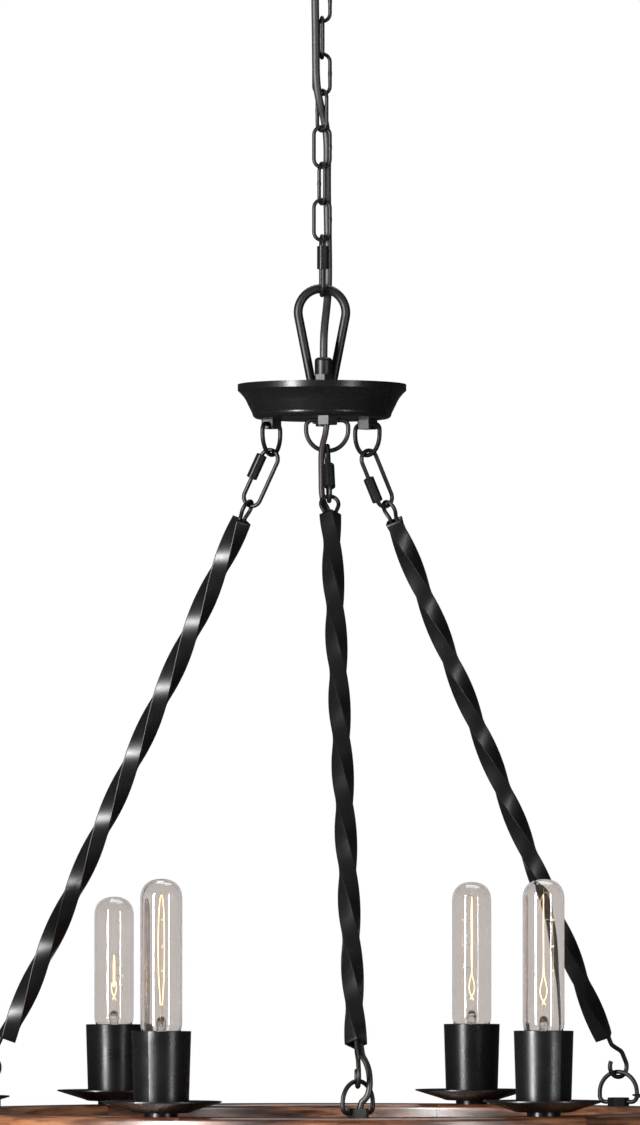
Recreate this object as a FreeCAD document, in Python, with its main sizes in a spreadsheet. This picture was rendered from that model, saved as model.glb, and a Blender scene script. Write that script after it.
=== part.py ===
# A six-light wagon wheel chandelier: a wooden wheel hung by three twisted bars and a chain from a ceiling canopy.
# Millimetres, +Z up, origin on the ceiling at the centre of the canopy, front hanger towards -Y.
import FreeCAD, Part
import math
import os
import re
import Sketcher
from FreeCAD import Placement, Rotation, Vector

SIZES = (
    # Ceiling plate, canopy and its eye
    ("canopy_diameter", 127, "canopy, across its lip at the ceiling"),
    ("canopy_height", 24, "canopy, ceiling to its flat end"),
    ("canopy_lip", 4, "upright lip of the canopy"),
    ("canopy_end_diameter", 40, "flat end of the canopy"),
    ("sheet_wall", 1.2, "steel sheet of the canopy, cups and hub cover"),
    ("crossbar_length", 104, "ceiling plate"),
    ("crossbar_width", 18, "ceiling plate"),
    ("crossbar_thickness", 3, "ceiling plate"),
    ("screw_hole_diameter", 4.8, "holes for the ceiling box screws"),
    ("screw_hole_spacing", 88.9, "ceiling box screws, centre to centre"),
    ("tube_diameter", 10, "threaded tube of the eye, fittings and lights"),
    ("tube_bore", 7, "bore of every threaded tube, for the cords"),
    ("hole_clearance", 0.2, "radial play of a tube or rod in its hole"),
    ("collar_diameter", 26, "round nut under the canopy"),
    ("collar_height", 7, "round nut under the canopy"),
    ("boss_diameter", 15, "thick top of the eye"),
    ("boss_height", 6, "thick top of the eye"),
    ("eye_diameter", 30, "outside of the eye"),
    ("eye_wire", 5, "rod of the eye"),
    # Chain and the open links with screw sleeves
    ("link_length", 35, "outside of a chain link"),
    ("link_width", 15.7, "outside of a chain link"),
    ("link_wire", 3, "wire of a chain link"),
    ("link_count", 8, "chain links, the first one included"),
    ("joint_play", 0.15, "gap between wires that hang in each other"),
    ("top_link_length", 50, "open link between the chain and the hub"),
    ("top_link_width", 20.5, "open link between the chain and the hub"),
    ("top_link_wire", 3.2, "open link between the chain and the hub"),
    ("top_sleeve_length", 18, "its screw sleeve"),
    ("top_sleeve_width", 8.6, "its screw sleeve, across flats"),
    ("hanger_link_length", 51, "open link of a hanger"),
    ("hanger_link_width", 18, "open link of a hanger"),
    ("hanger_link_wire", 3.3, "open link of a hanger"),
    ("hanger_sleeve_length", 20, "its screw sleeve"),
    ("hanger_sleeve_width", 7.8, "its screw sleeve, across flats"),
    ("sleeve_clearance", 0.08, "radial play of a sleeve on its wire"),
    ("mouth_gap", 6.5, "mouth of an open link, behind its sleeve"),
    ("mouth_cover", 1.2, "how far the sleeve overlaps the mouth's end"),
    # Hub
    ("loop_width", 44.9, "outside of the hub's loop"),
    ("loop_rod", 7.2, "rod of the hub's loop"),
    ("loop_drop", 57, "centre of the loop's arc to the dish's rim"),
    ("loop_neck", 16, "rod to rod at the dish's rim"),
    ("loop_block_diameter", 26, "block that joins the two rods in the dish"),
    ("loop_block_height", 7, "block that joins the two rods in the dish"),
    ("loop_block_depth", 10, "dish's rim to the block's top"),
    ("dish_diameter", 133, "dish, across its rim"),
    ("dish_floor_diameter", 110, "dish, across its floor"),
    ("dish_height", 27, "dish"),
    ("dish_lip", 5, "upright lip of the dish"),
    ("dish_corner", 4.2, "bend between the dish's floor and side"),
    ("dish_hollow", 26, "radius of the dish's hollow side"),
    ("dish_wall", 1.5, "steel sheet of the dish"),
    ("cover_depth", 0.6, "dish's rim to the cover's top"),
    ("grip_forward", 13, "cord grip, in front of the loop"),
    ("grip_diameter", 14, "domed cap of the cord grip"),
    ("grip_height", 13.4, "domed cap of the cord grip"),
    ("grip_hex_width", 13, "hexagon of the cord grip, across flats"),
    ("grip_hex_height", 7.8, "hexagon of the cord grip"),
    ("grip_stub", 6, "thread of the cord grip below its hexagon"),
    ("swivel_circle", 88, "diameter of the circle of hub fittings"),
    ("fitting_width", 15, "hexagonal fitting, across flats"),
    ("fitting_height", 7, "hexagonal fitting"),
    ("nut_width", 13, "nut of a threaded tube, across flats"),
    ("nut_height", 4, "nut of a threaded tube"),
    ("ring_width", 36.6, "outside of a D ring"),
    ("ring_height", 27.6, "outside of a D ring"),
    ("ring_wire", 3.5, "wire of a D ring"),
    ("ring_bend", 5, "corner of a D ring beside its fitting"),
    ("ring_pin_gap", 9, "between the two ends of a D ring"),
    # Cords
    ("supply_cord_diameter", 6.2, "cord from the ceiling to the hub"),
    ("wheel_cord_diameter", 4.8, "cord from the hub to the wheel"),
    # Hangers
    ("bar_length", 460, "twisted square tube"),
    ("bar_side", 12.7, "twisted square tube, across flats"),
    ("bar_wall", 1, "twisted square tube"),
    ("bar_quarter_turns", 8, "twist of the tube, left-handed"),
    ("bar_loop_width", 17, "wire loop on the tube's top"),
    ("bar_loop_height", 18, "wire loop above the tube's top"),
    ("bar_loop_wire", 3.2, "wire loop on the tube's top"),
    ("bar_wire_offset", 4.3, "from the tube's axis to a wire in it"),
    ("bar_wire_depth", 5, "wire inside the tube"),
    ("hook_wire", 3.6, "hook at the tube's foot"),
    ("hook_bowl", 8.4, "radius of the hook's bowl, to the wire's centre"),
    ("hook_centre_out", 2.5, "tube's axis to the centre of the bowl"),
    ("hook_centre_down", 27.5, "tube's foot to the centre of the bowl"),
    ("hook_neck", 9, "straight wire below the tube's foot"),
    ("hook_play", 0.6, "gap between the hook's bowl and its ring"),
    # Wooden wheel
    ("wheel_radius", 292, "centre of the rim's width"),
    ("rim_width", 44, "rim, inside to outside"),
    ("rim_height", 57, "rim"),
    ("rim_edge", 4, "rounded edges of the rim"),
    ("felloe_count", 6, "bent pieces of the rim"),
    ("felloe_gap", 0.2, "joint line between two of them"),
    ("felloe_shift", 4.5, "degrees from a light to the joint beside it"),
    ("channel_width", 22, "wiring channel under the rim"),
    ("channel_depth", 13, "wiring channel under the rim"),
    ("spoke_count", 12, "spokes"),
    ("spoke_drop", 30, "rim's top to the spokes' axis"),
    ("spoke_diameter", 30, "spoke at its thickest"),
    ("spoke_neck_diameter", 20, "spoke at its neck"),
    ("spoke_end_diameter", 23, "spoke at the rim"),
    ("spoke_play", 0.6, "spoke's shoulders to the hub and rim"),
    ("tenon_diameter", 15, "round tenon of a spoke"),
    ("tenon_length", 14, "round tenon of a spoke"),
    ("nave_diameter", 116, "turned centre of the wheel"),
    ("nave_top_drop", 9, "rim's top to its top"),
    ("nave_height", 64, "turned centre of the wheel"),
    ("nave_foot_diameter", 64, "foot of the turned centre"),
    ("band_width", 8, "iron hoops of the turned centre"),
    ("band_thickness", 2, "iron hoops of the turned centre"),
    ("wiring_diameter", 6, "wiring in the channel"),
    # Lights
    ("light_count", 6, "lights"),
    ("spacer_diameter", 26, "washer between the rim and a drip pan"),
    ("spacer_height", 3, "washer between the rim and a drip pan"),
    ("pan_diameter", 92, "drip pan, across its edge"),
    ("pan_floor_diameter", 48, "drip pan, across its floor"),
    ("pan_height", 9, "drip pan"),
    ("pan_wall", 1, "drip pan"),
    ("cup_diameter", 45.6, "candle cup, across its mouth"),
    ("cup_floor_diameter", 42, "candle cup, across its floor"),
    ("cup_height", 61, "candle cup"),
    ("socket_diameter", 33, "lamp socket"),
    ("socket_height", 40, "lamp socket"),
    ("socket_floor", 12, "solid floor of a lamp socket"),
    ("cap_diameter", 26.2, "screw cap of a bulb"),
    ("cap_height", 26, "screw cap of a bulb"),
    ("cap_wall", 0.5, "screw cap of a bulb"),
    ("cap_clearance", 0.3, "radial play of the cap in its socket"),
    ("bulb_length", 163, "bulb, contact to tip"),
    ("short_bulb_length", 151, "the shorter bulb at the back left"),
    ("bulb_diameter", 31.8, "glass tube of a bulb"),
    ("glass_wall", 0.8, "glass of a bulb"),
    ("stem_height", 58, "top of a bulb's glass stem"),
    ("filament_wire", 0.8, "filament of a bulb"),
    ("filament_spread", 9, "filament of a bulb, side to side"),
    ("filament_clearance", 22, "top of the filament to the bulb's tip"),
)

# Directions, in degrees about the vertical axis from +X.
HANGERS = {"front": -90, "right": 30, "left": 150}
FIRST_LIGHT = 0
# The way each chain link faces, from the first link down.
LINK_TURNS = (90, 0, 90, 0, 120, 0, 105, 0)
# How far each ring on the rim has swivelled from facing the centre.
RING_TURNS = {"front": 41, "right": 27, "left": 34}
# Side of each hanger link that carries the sleeve (1 is outward), and the way the sleeve opens (1 is up).
SLEEVES = {"front": (1, 1), "right": (-1, 1), "left": (1, -1)}
TOP_SLEEVE = (-1, -1)
SHORT_BULB = 3

doc = FreeCAD.newDocument("wagon_wheel_chandelier")
sheet = doc.addObject("Spreadsheet::Sheet", "sizes")
for row, (alias, number, meaning) in enumerate(SIZES, start=1):
    sheet.set(f"A{row}", meaning)
    sheet.set(f"B{row}", str(number))
    sheet.setAlias(f"B{row}", alias)
doc.recompute()
aliases = {alias for alias, number, meaning in SIZES}
nodes = {}


# ---------------------------------------------------------------- helpers


def size(expression):
    """The value of a formula written with the sheet's names."""
    return float(sheet.evalExpression(expression))


def bound(expression):
    """The same formula with each name pointing at its cell, for setExpression."""
    return re.sub(r"[a-z_]+", lambda m: f"sizes.{m[0]}" if m[0] in aliases else m[0], expression)


def node(name, thing):
    """Registers a finished sub-part under the name of its file."""
    thing.Label = name
    nodes[name] = thing
    return thing


def place(thing, x=0, y=0, z=0, rotation=None):
    thing.Placement = Placement(Vector(x, y, z), rotation or Rotation())
    return thing


def primitive(kind, label, sizes, at=(0, 0, 0), rotation=None):
    """A Part primitive whose sizes are bound to the sheet, placed at numbers or formulas."""
    thing = doc.addObject(f"Part::{kind}", label)
    for name, expression in sizes.items():
        thing.setExpression(name, bound(expression))
    if rotation:
        thing.Placement = Placement(Vector(), rotation)
    for axis, where in zip("xyz", at):
        if isinstance(where, str):
            thing.setExpression(f"Placement.Base.{axis}", bound(where))
    return thing


def cylinder(label, radius, height, at=(0, 0, 0), rotation=None):
    return primitive("Cylinder", label, {"Radius": radius, "Height": height}, at, rotation)


def hexagon(label, width, height, at=(0, 0, 0)):
    """A hexagonal prism whose flats face along X."""
    turned_hexagon = Rotation(Vector(0, 0, 1), 30)
    prism = primitive("Prism", label, {"Circumradius": f"{width} / sqrt(3)", "Height": height}, at, turned_hexagon)
    prism.Polygon = 6
    return prism


def cut(label, base, *tools):
    """The base less each tool in turn."""
    for number, tool in enumerate(tools):
        step = doc.addObject("Part::Cut", label if number == len(tools) - 1 else f"{label}_step")
        step.Base = base
        step.Tool = tool
        base = step
    return base


def fuse(label, *things):
    joined = doc.addObject("Part::MultiFuse", label)
    joined.Shapes = list(things)
    return joined


def feature(label, shape, placement=None):
    """A shape made by Part's own functions, with its placement set after it."""
    thing = doc.addObject("Part::Feature", label)
    thing.Shape = shape
    if placement:
        thing.Placement = placement
    return thing


def arc_between(start, end, radius, side):
    """An arc from start to end; side is 1 where it bulges to the left of that way and -1 to the right."""
    middle = (start + end) * 0.5
    along = end - start
    left = Vector(-along.y, along.x, 0).normalize()
    rise = math.sqrt(radius**2 - (along.Length / 2) ** 2)
    centre = middle - left * side * rise
    first, last = (start, end) if side < 0 else (end, start)
    angle_of = lambda p: math.atan2(p.y - centre.y, p.x - centre.x)
    circle = Part.Circle(centre, Vector(0, 0, 1), radius)
    return Part.ArcOfCircle(circle, angle_of(first), angle_of(last)), side > 0


def turned(label, outline):
    """A body turned about Z. The outline is a closed run of (radius, height) formulas in the XZ plane;
    a corner with a third and fourth entry starts an arc of that radius that bulges to that side."""
    body = doc.addObject("PartDesign::Body", label)
    sketch = body.newObject("Sketcher::SketchObject", f"{label}_profile")
    plane = next(f for f in body.Origin.OriginFeatures if f.Role == "XZ_Plane")
    sketch.AttachmentSupport = (plane, [""])
    sketch.MapMode = "FlatFace"
    corners = [Vector(size(c[0]), size(c[1]), 0) for c in outline]
    starts, ends = [], []
    for index, corner in enumerate(outline):
        start, end = corners[index], corners[(index + 1) % len(outline)]
        flipped = False
        if len(corner) == 2:
            geometry = Part.LineSegment(start, end)
        else:
            geometry, flipped = arc_between(start, end, size(corner[2]), corner[3])
        sketch.addGeometry(geometry)
        starts.append(2 if flipped else 1)
        ends.append(1 if flipped else 2)
    for index, corner in enumerate(outline):
        following = (index + 1) % len(outline)
        sketch.addConstraint(Sketcher.Constraint("Coincident", index, ends[index], following, starts[following]))
        for axis, expression, value in (("X", corner[0], corners[index].x), ("Y", corner[1], corners[index].y)):
            rule = Sketcher.Constraint(f"Distance{axis}", -1, 1, index, starts[index], value)
            number = sketch.addConstraint(rule)
            sketch.setExpression(f"Constraints[{number}]", bound(expression))
        if len(corner) == 4:
            number = sketch.addConstraint(Sketcher.Constraint("Radius", index, size(corner[2])))
            sketch.setExpression(f"Constraints[{number}]", bound(corner[2]))
    revolution = body.newObject("PartDesign::Revolution", f"{label}_turned")
    revolution.Profile = sketch
    revolution.ReferenceAxis = (sketch, ["V_Axis"])
    revolution.Angle = 360
    return body


def around(label, source, count, first_angle, placement=None):
    """Copies of a source shape, moved by the placement and then turned about Z in equal steps."""
    doc.recompute()
    start = placement or Placement()
    copies = []
    for number in range(int(count)):
        turn = Placement(Vector(), Rotation(Vector(0, 0, 1), first_angle + number * 360 / int(count)))
        copies.append(source.Shape.transformed(turn.multiply(start).toMatrix(), True))
    return feature(label, Part.makeCompound(copies))


def bent_path(points, radii):
    """Edges of a path of straight runs joined by tangent arcs, one radius for each inner point."""
    edges = []
    start = points[0]
    for before, corner, after, radius in zip(points, points[1:], points[2:], radii):
        back = (before - corner).normalize()
        on = (after - corner).normalize()
        half_turn = (math.pi - back.getAngle(on)) / 2
        reach = radius * math.tan(half_turn)
        arc_start, arc_end = corner + back * reach, corner + on * reach
        sagitta = radius / math.cos(half_turn) - radius
        arc_middle = corner + (back + on).normalize() * sagitta
        edges.append(Part.LineSegment(start, arc_start).toShape())
        edges.append(Part.Arc(arc_start, arc_middle, arc_end).toShape())
        start = arc_end
    edges.append(Part.LineSegment(start, points[-1]).toShape())
    return edges


def wire_along(edges, diameter):
    """A round wire swept along the edges, which follow on from each other."""
    path = Part.Wire(edges)
    first = edges[0]
    start = first.valueAt(first.FirstParameter)
    direction = first.tangentAt(first.FirstParameter)
    section = Part.Wire([Part.Circle(start, direction, diameter / 2).toShape()])
    return path.makePipeShell([section], True, False)


def arc_edge(centre, radius, first, last):
    """An arc in the XZ plane between two angles in degrees, measured from +X towards +Z."""
    at = lambda a: centre + Vector(math.cos(math.radians(a)), 0, math.sin(math.radians(a))) * radius
    return Part.Arc(at(first), at((first + last) / 2), at(last)).toShape()


def closed_link(length, width, wire):
    """A chain link standing in the XZ plane, with its centre at the origin."""
    bend = (width - wire) / 2
    straight = (length - wire) / 2 - bend
    edges = [
        Part.LineSegment(Vector(-bend, 0, -straight), Vector(-bend, 0, straight)).toShape(),
        arc_edge(Vector(0, 0, straight), bend, 180, 0),
        Part.LineSegment(Vector(bend, 0, straight), Vector(bend, 0, -straight)).toShape(),
        arc_edge(Vector(0, 0, -straight), bend, 0, -180),
    ]
    return wire_along(edges, wire)


def sleeve_foot(length, width, wire, sleeve_length, opens):
    """Height of the sleeve's lower end on an open link's straight leg, while it is closed."""
    straight = (length - wire) / 2 - (width - wire) / 2
    return -straight if opens > 0 else straight - sleeve_length


def open_link(length, width, wire, sleeve_length, side, opens):
    """An open link in the XZ plane. Its mouth is in the leg on that side, behind one end of the sleeve."""
    bend = (width - wire) / 2
    straight = (length - wire) / 2 - bend
    foot = sleeve_foot(length, width, wire, sleeve_length, opens)
    gap, cover = size("mouth_gap"), size("mouth_cover")
    mouth = foot + cover if opens > 0 else foot + sleeve_length - cover - gap
    leg = side * bend
    edges = [
        Part.LineSegment(Vector(leg, 0, mouth), Vector(leg, 0, -straight)).toShape(),
        arc_edge(Vector(0, 0, -straight), bend, 0 if side > 0 else 180, -180 if side > 0 else 360),
        Part.LineSegment(Vector(-leg, 0, -straight), Vector(-leg, 0, straight)).toShape(),
        arc_edge(Vector(0, 0, straight), bend, 180 if side > 0 else 0, 0 if side > 0 else 180),
        Part.LineSegment(Vector(leg, 0, straight), Vector(leg, 0, mouth + gap)).toShape(),
    ]
    return wire_along(edges, wire)


def screw_sleeve(label, width, length, wire):
    """A hexagonal sleeve with broken corners, standing on the origin."""
    prism = hexagon(f"{label}_hexagon", width, length)
    round_blank = cylinder(f"{label}_round", f"{width} / sqrt(3) * 0.95", length)
    blank = doc.addObject("Part::Common", f"{label}_blank")
    blank.Base = prism
    blank.Tool = round_blank
    bore = cylinder(f"{label}_bore", f"{wire} / 2 + sleeve_clearance", length)
    return cut(label, blank, bore)


def d_ring():
    """A D ring in the XZ plane, hanging from its two pins on the X axis."""
    half = size("(ring_width - ring_wire) / 2")
    pin = size("ring_pin_gap / 2")
    side = size("ring_height - ring_wire") - half
    bend = size("ring_bend")
    right = bent_path([Vector(pin, 0, 0), Vector(half, 0, 0), Vector(half, 0, -side)], [bend])
    left = bent_path([Vector(-half, 0, -side), Vector(-half, 0, 0), Vector(-pin, 0, 0)], [bend])
    return wire_along(right + [arc_edge(Vector(0, 0, -side), half, 0, -180)] + left, size("ring_wire"))


def ring_fitting(label, tube_length):
    """A hexagonal fitting below the origin with cross holes for a ring's pins, and its threaded tube above."""
    head = hexagon(f"{label}_head", "fitting_width", "fitting_height", (0, 0, "-fitting_height"))
    tube = cylinder(f"{label}_tube", "tube_diameter / 2", tube_length)
    bore = cylinder(f"{label}_bore", "tube_bore / 2", f"{tube_length} + fitting_height", (0, 0, "-fitting_height"))
    holes = []
    for name, start in (("right", "ring_pin_gap / 2 - 0.2"), ("left", "-fitting_width")):
        holes.append(
            cylinder(
                f"{label}_{name}_hole",
                "ring_wire / 2 + joint_play",
                "fitting_width - ring_pin_gap / 2 + 0.2",
                (start, 0, "-fitting_height / 2"),
                Rotation(Vector(0, 1, 0), 90),
            )
        )
    return cut(label, fuse(f"{label}_blank", head, tube), bore, *holes)


def tube_nut(label):
    """A hexagonal nut for a threaded tube, standing on the origin."""
    prism = hexagon(f"{label}_hexagon", "nut_width", "nut_height")
    return cut(label, prism, cylinder(f"{label}_bore", "tube_diameter / 2 + joint_play", "nut_height"))


def cord(label, points, diameter):
    """A cord's solid along chosen points, each bend as large as its two runs allow."""
    radii = []
    for before, corner, after in zip(points, points[1:], points[2:]):
        back, on = before - corner, after - corner
        half_turn = (math.pi - back.getAngle(on)) / 2
        radii.append(0.45 * min(back.Length, on.Length) / math.tan(half_turn))
    edges = bent_path(points, radii)
    shape = wire_along(edges, diameter)
    length = sum(edge.Length for edge in edges)
    share = shape.Volume / (length * math.pi * diameter**2 / 4)
    print(f"{label}: length {length:.1f}, volume share {share:.5f}, radii", [round(r, 1) for r in radii])
    return feature(label, shape)


# ---------------------------------------------------------------- heights and directions

LEVEL_EYE = -size("canopy_height + collar_height + boss_height - 1 + (eye_diameter - eye_wire) / 2")
LINK_STEP = size("link_length - 2 * link_wire - joint_play")
LINK_REACH = size("(link_length - link_wire) / 2")
LEVEL_FIRST_LINK = (
    LEVEL_EYE - size("(eye_diameter - eye_wire) / 2") + size("(eye_wire + link_wire) / 2 + joint_play") - LINK_REACH
)
LEVEL_LAST_LINK = LEVEL_FIRST_LINK - (size("link_count") - 1) * LINK_STEP
TOP_LINK_REACH = size("(top_link_length - top_link_wire) / 2")
LEVEL_TOP_LINK = LEVEL_LAST_LINK - LINK_REACH + size("(link_wire + top_link_wire) / 2 + joint_play") - TOP_LINK_REACH
LEVEL_LOOP_TOP = LEVEL_TOP_LINK - TOP_LINK_REACH + size("(top_link_wire + loop_rod) / 2 + joint_play")
LEVEL_LOOP = LEVEL_LOOP_TOP - size("(loop_width - loop_rod) / 2")
LEVEL_DISH = LEVEL_LOOP - size("loop_drop")
LEVEL_HUB_FITTING = LEVEL_DISH - size("dish_height")
LEVEL_HUB_RING = LEVEL_HUB_FITTING - size("fitting_height / 2")
LEVEL_HANGER = LEVEL_HUB_RING - size("ring_height - ring_wire")

# A hanger is measured along its bar from the foot of its hub ring: bar_start, then the hook's bowl.
LINK_HANG = size("(ring_wire + hanger_link_wire) / 2 + joint_play")
BAR_LOOP_TOP = size("hanger_link_length - hanger_link_wire") - LINK_HANG - size(
    "(hanger_link_wire + bar_loop_wire) / 2 + joint_play"
)
BAR_START = BAR_LOOP_TOP + size("bar_loop_height - bar_loop_wire / 2")
BAR_END = BAR_START + size("bar_length")
BOWL_DOWN = BAR_END + size("hook_centre_down")
BOWL_OUT = size("hook_centre_out")
REACH_OUT = size("wheel_radius - swivel_circle / 2")
LEAN = math.asin(REACH_OUT / math.hypot(BOWL_DOWN, BOWL_OUT)) - math.atan2(BOWL_OUT, BOWL_DOWN)
RING_IN_BOWL = size("hook_bowl - (hook_wire + ring_wire) / 2 - hook_play")
LEVEL_RIM_RING_TOP = LEVEL_HANGER - BOWL_DOWN * math.cos(LEAN) + BOWL_OUT * math.sin(LEAN) - RING_IN_BOWL
LEVEL_RIM = LEVEL_RIM_RING_TOP - size("ring_height - ring_wire + fitting_height / 2")
LIGHT_STEP = 360 / size("light_count")


def turn(angle):
    return Rotation(Vector(0, 0, 1), angle)


def hanger_place(direction):
    """Moves a hanger piece from its own frame: +X outward, +Y round the wheel, +Z up along the bar."""
    radius = size("swivel_circle / 2")
    foot = Vector(radius, 0, LEVEL_HANGER)
    leaning = Placement(foot, Rotation(Vector(0, 1, 0), -math.degrees(LEAN)))
    return Placement(Vector(), turn(direction)).multiply(leaning)


# ---------------------------------------------------------------- ceiling


def build_ceiling():
    bar = primitive(
        "Box",
        "crossbar_blank",
        {"Length": "crossbar_length", "Width": "crossbar_width", "Height": "crossbar_thickness"},
        ("-crossbar_length / 2", "-crossbar_width / 2", "-crossbar_thickness"),
    )
    through = "crossbar_thickness"
    tube_hole = cylinder("crossbar_tube_hole", "tube_diameter / 2 + hole_clearance", through, (0, 0, f"-{through}"))
    screw_holes = [
        cylinder(f"crossbar_hole_{side}", "screw_hole_diameter / 2", through, (where, 0, f"-{through}"))
        for side, where in (("left", "-screw_hole_spacing / 2"), ("right", "screw_hole_spacing / 2"))
    ]
    node("ceiling_crossbar", cut("crossbar", bar, tube_hole, *screw_holes))

    hole = "tube_diameter / 2 + hole_clearance"
    canopy = turned(
        "canopy",
        [
            (hole, "-canopy_height"),
            ("canopy_end_diameter / 2", "-canopy_height"),
            ("canopy_diameter / 2 - 8", "-canopy_height * 0.55", "canopy_diameter", -1),
            ("canopy_diameter / 2", "-canopy_lip", "canopy_height", -1),
            ("canopy_diameter / 2", "0"),
            ("canopy_diameter / 2 - sheet_wall", "0"),
            ("canopy_diameter / 2 - sheet_wall", "-canopy_lip"),
            ("canopy_diameter / 2 - 8 - sheet_wall * 0.7", "-canopy_height * 0.55 + sheet_wall"),
            ("canopy_end_diameter / 2", "-canopy_height + sheet_wall"),
            (hole, "-canopy_height + sheet_wall"),
        ],
    )
    node("canopy", canopy)

    collar = turned(
        "canopy_collar",
        [
            (hole, "0"),
            ("collar_diameter / 2", "0"),
            ("collar_diameter / 2", "1.5 - collar_height"),
            ("collar_diameter / 2 - 1.5", "-collar_height"),
            (hole, "-collar_height"),
        ],
    )
    node("canopy_collar", place(collar, z=-size("canopy_height")))

    radius = "(eye_diameter - eye_wire) / 2"
    below_collar = "canopy_height + collar_height"
    eye = primitive(
        "Torus", "eye_ring", {"Radius1": radius, "Radius2": "eye_wire / 2"}, rotation=Rotation(Vector(1, 0, 0), 90)
    )
    eye.setExpression("Placement.Base.z", bound(f"-({below_collar} + boss_height - 1 + {radius})"))
    boss = cylinder("eye_boss", "boss_diameter / 2", "boss_height", (0, 0, f"-({below_collar} + boss_height)"))
    tube = cylinder("eye_tube", "tube_diameter / 2", f"{below_collar} + 1", (0, 0, f"-({below_collar} + 1)"))
    bore_length = f"{below_collar} + boss_height + eye_wire"
    bore = cylinder("eye_bore", "tube_bore / 2", bore_length, (0, 0, f"-({bore_length})"))
    node("canopy_loop", cut("canopy_loop", fuse("eye_blank", eye, boss, tube), bore))


# ---------------------------------------------------------------- chain


def build_chain():
    link = feature("link_pattern", closed_link(size("link_length"), size("link_width"), size("link_wire")))
    doc.recompute()
    placements = []
    for number in range(int(size("link_count"))):
        level = LEVEL_FIRST_LINK - number * LINK_STEP
        placements.append(Placement(Vector(0, 0, level), turn(LINK_TURNS[number % len(LINK_TURNS)])))
    shapes = [link.Shape.transformed(where.toMatrix(), True) for where in placements]
    node("first_chain_link", feature("first_link", shapes[0]))
    node("chain_links", feature("other_links", Part.makeCompound(shapes[1:])))

    side, opens = TOP_SLEEVE
    wire, sleeve_length = size("top_link_wire"), size("top_sleeve_length")
    sizes = (size("top_link_length"), size("top_link_width"), wire, sleeve_length)
    hung = Placement(Vector(0, 0, LEVEL_TOP_LINK), turn(90))
    node("top_quick_link", feature("top_link", open_link(*sizes, side, opens), hung))
    sleeve = screw_sleeve("top_link_sleeve", "top_sleeve_width", "top_sleeve_length", "top_link_wire")
    foot = Vector(side * size("(top_link_width - top_link_wire) / 2"), 0, sleeve_foot(*sizes, opens))
    sleeve.Placement = hung.multiply(Placement(foot, Rotation()))
    node("top_link_sleeve", sleeve)


# ---------------------------------------------------------------- hub


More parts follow.
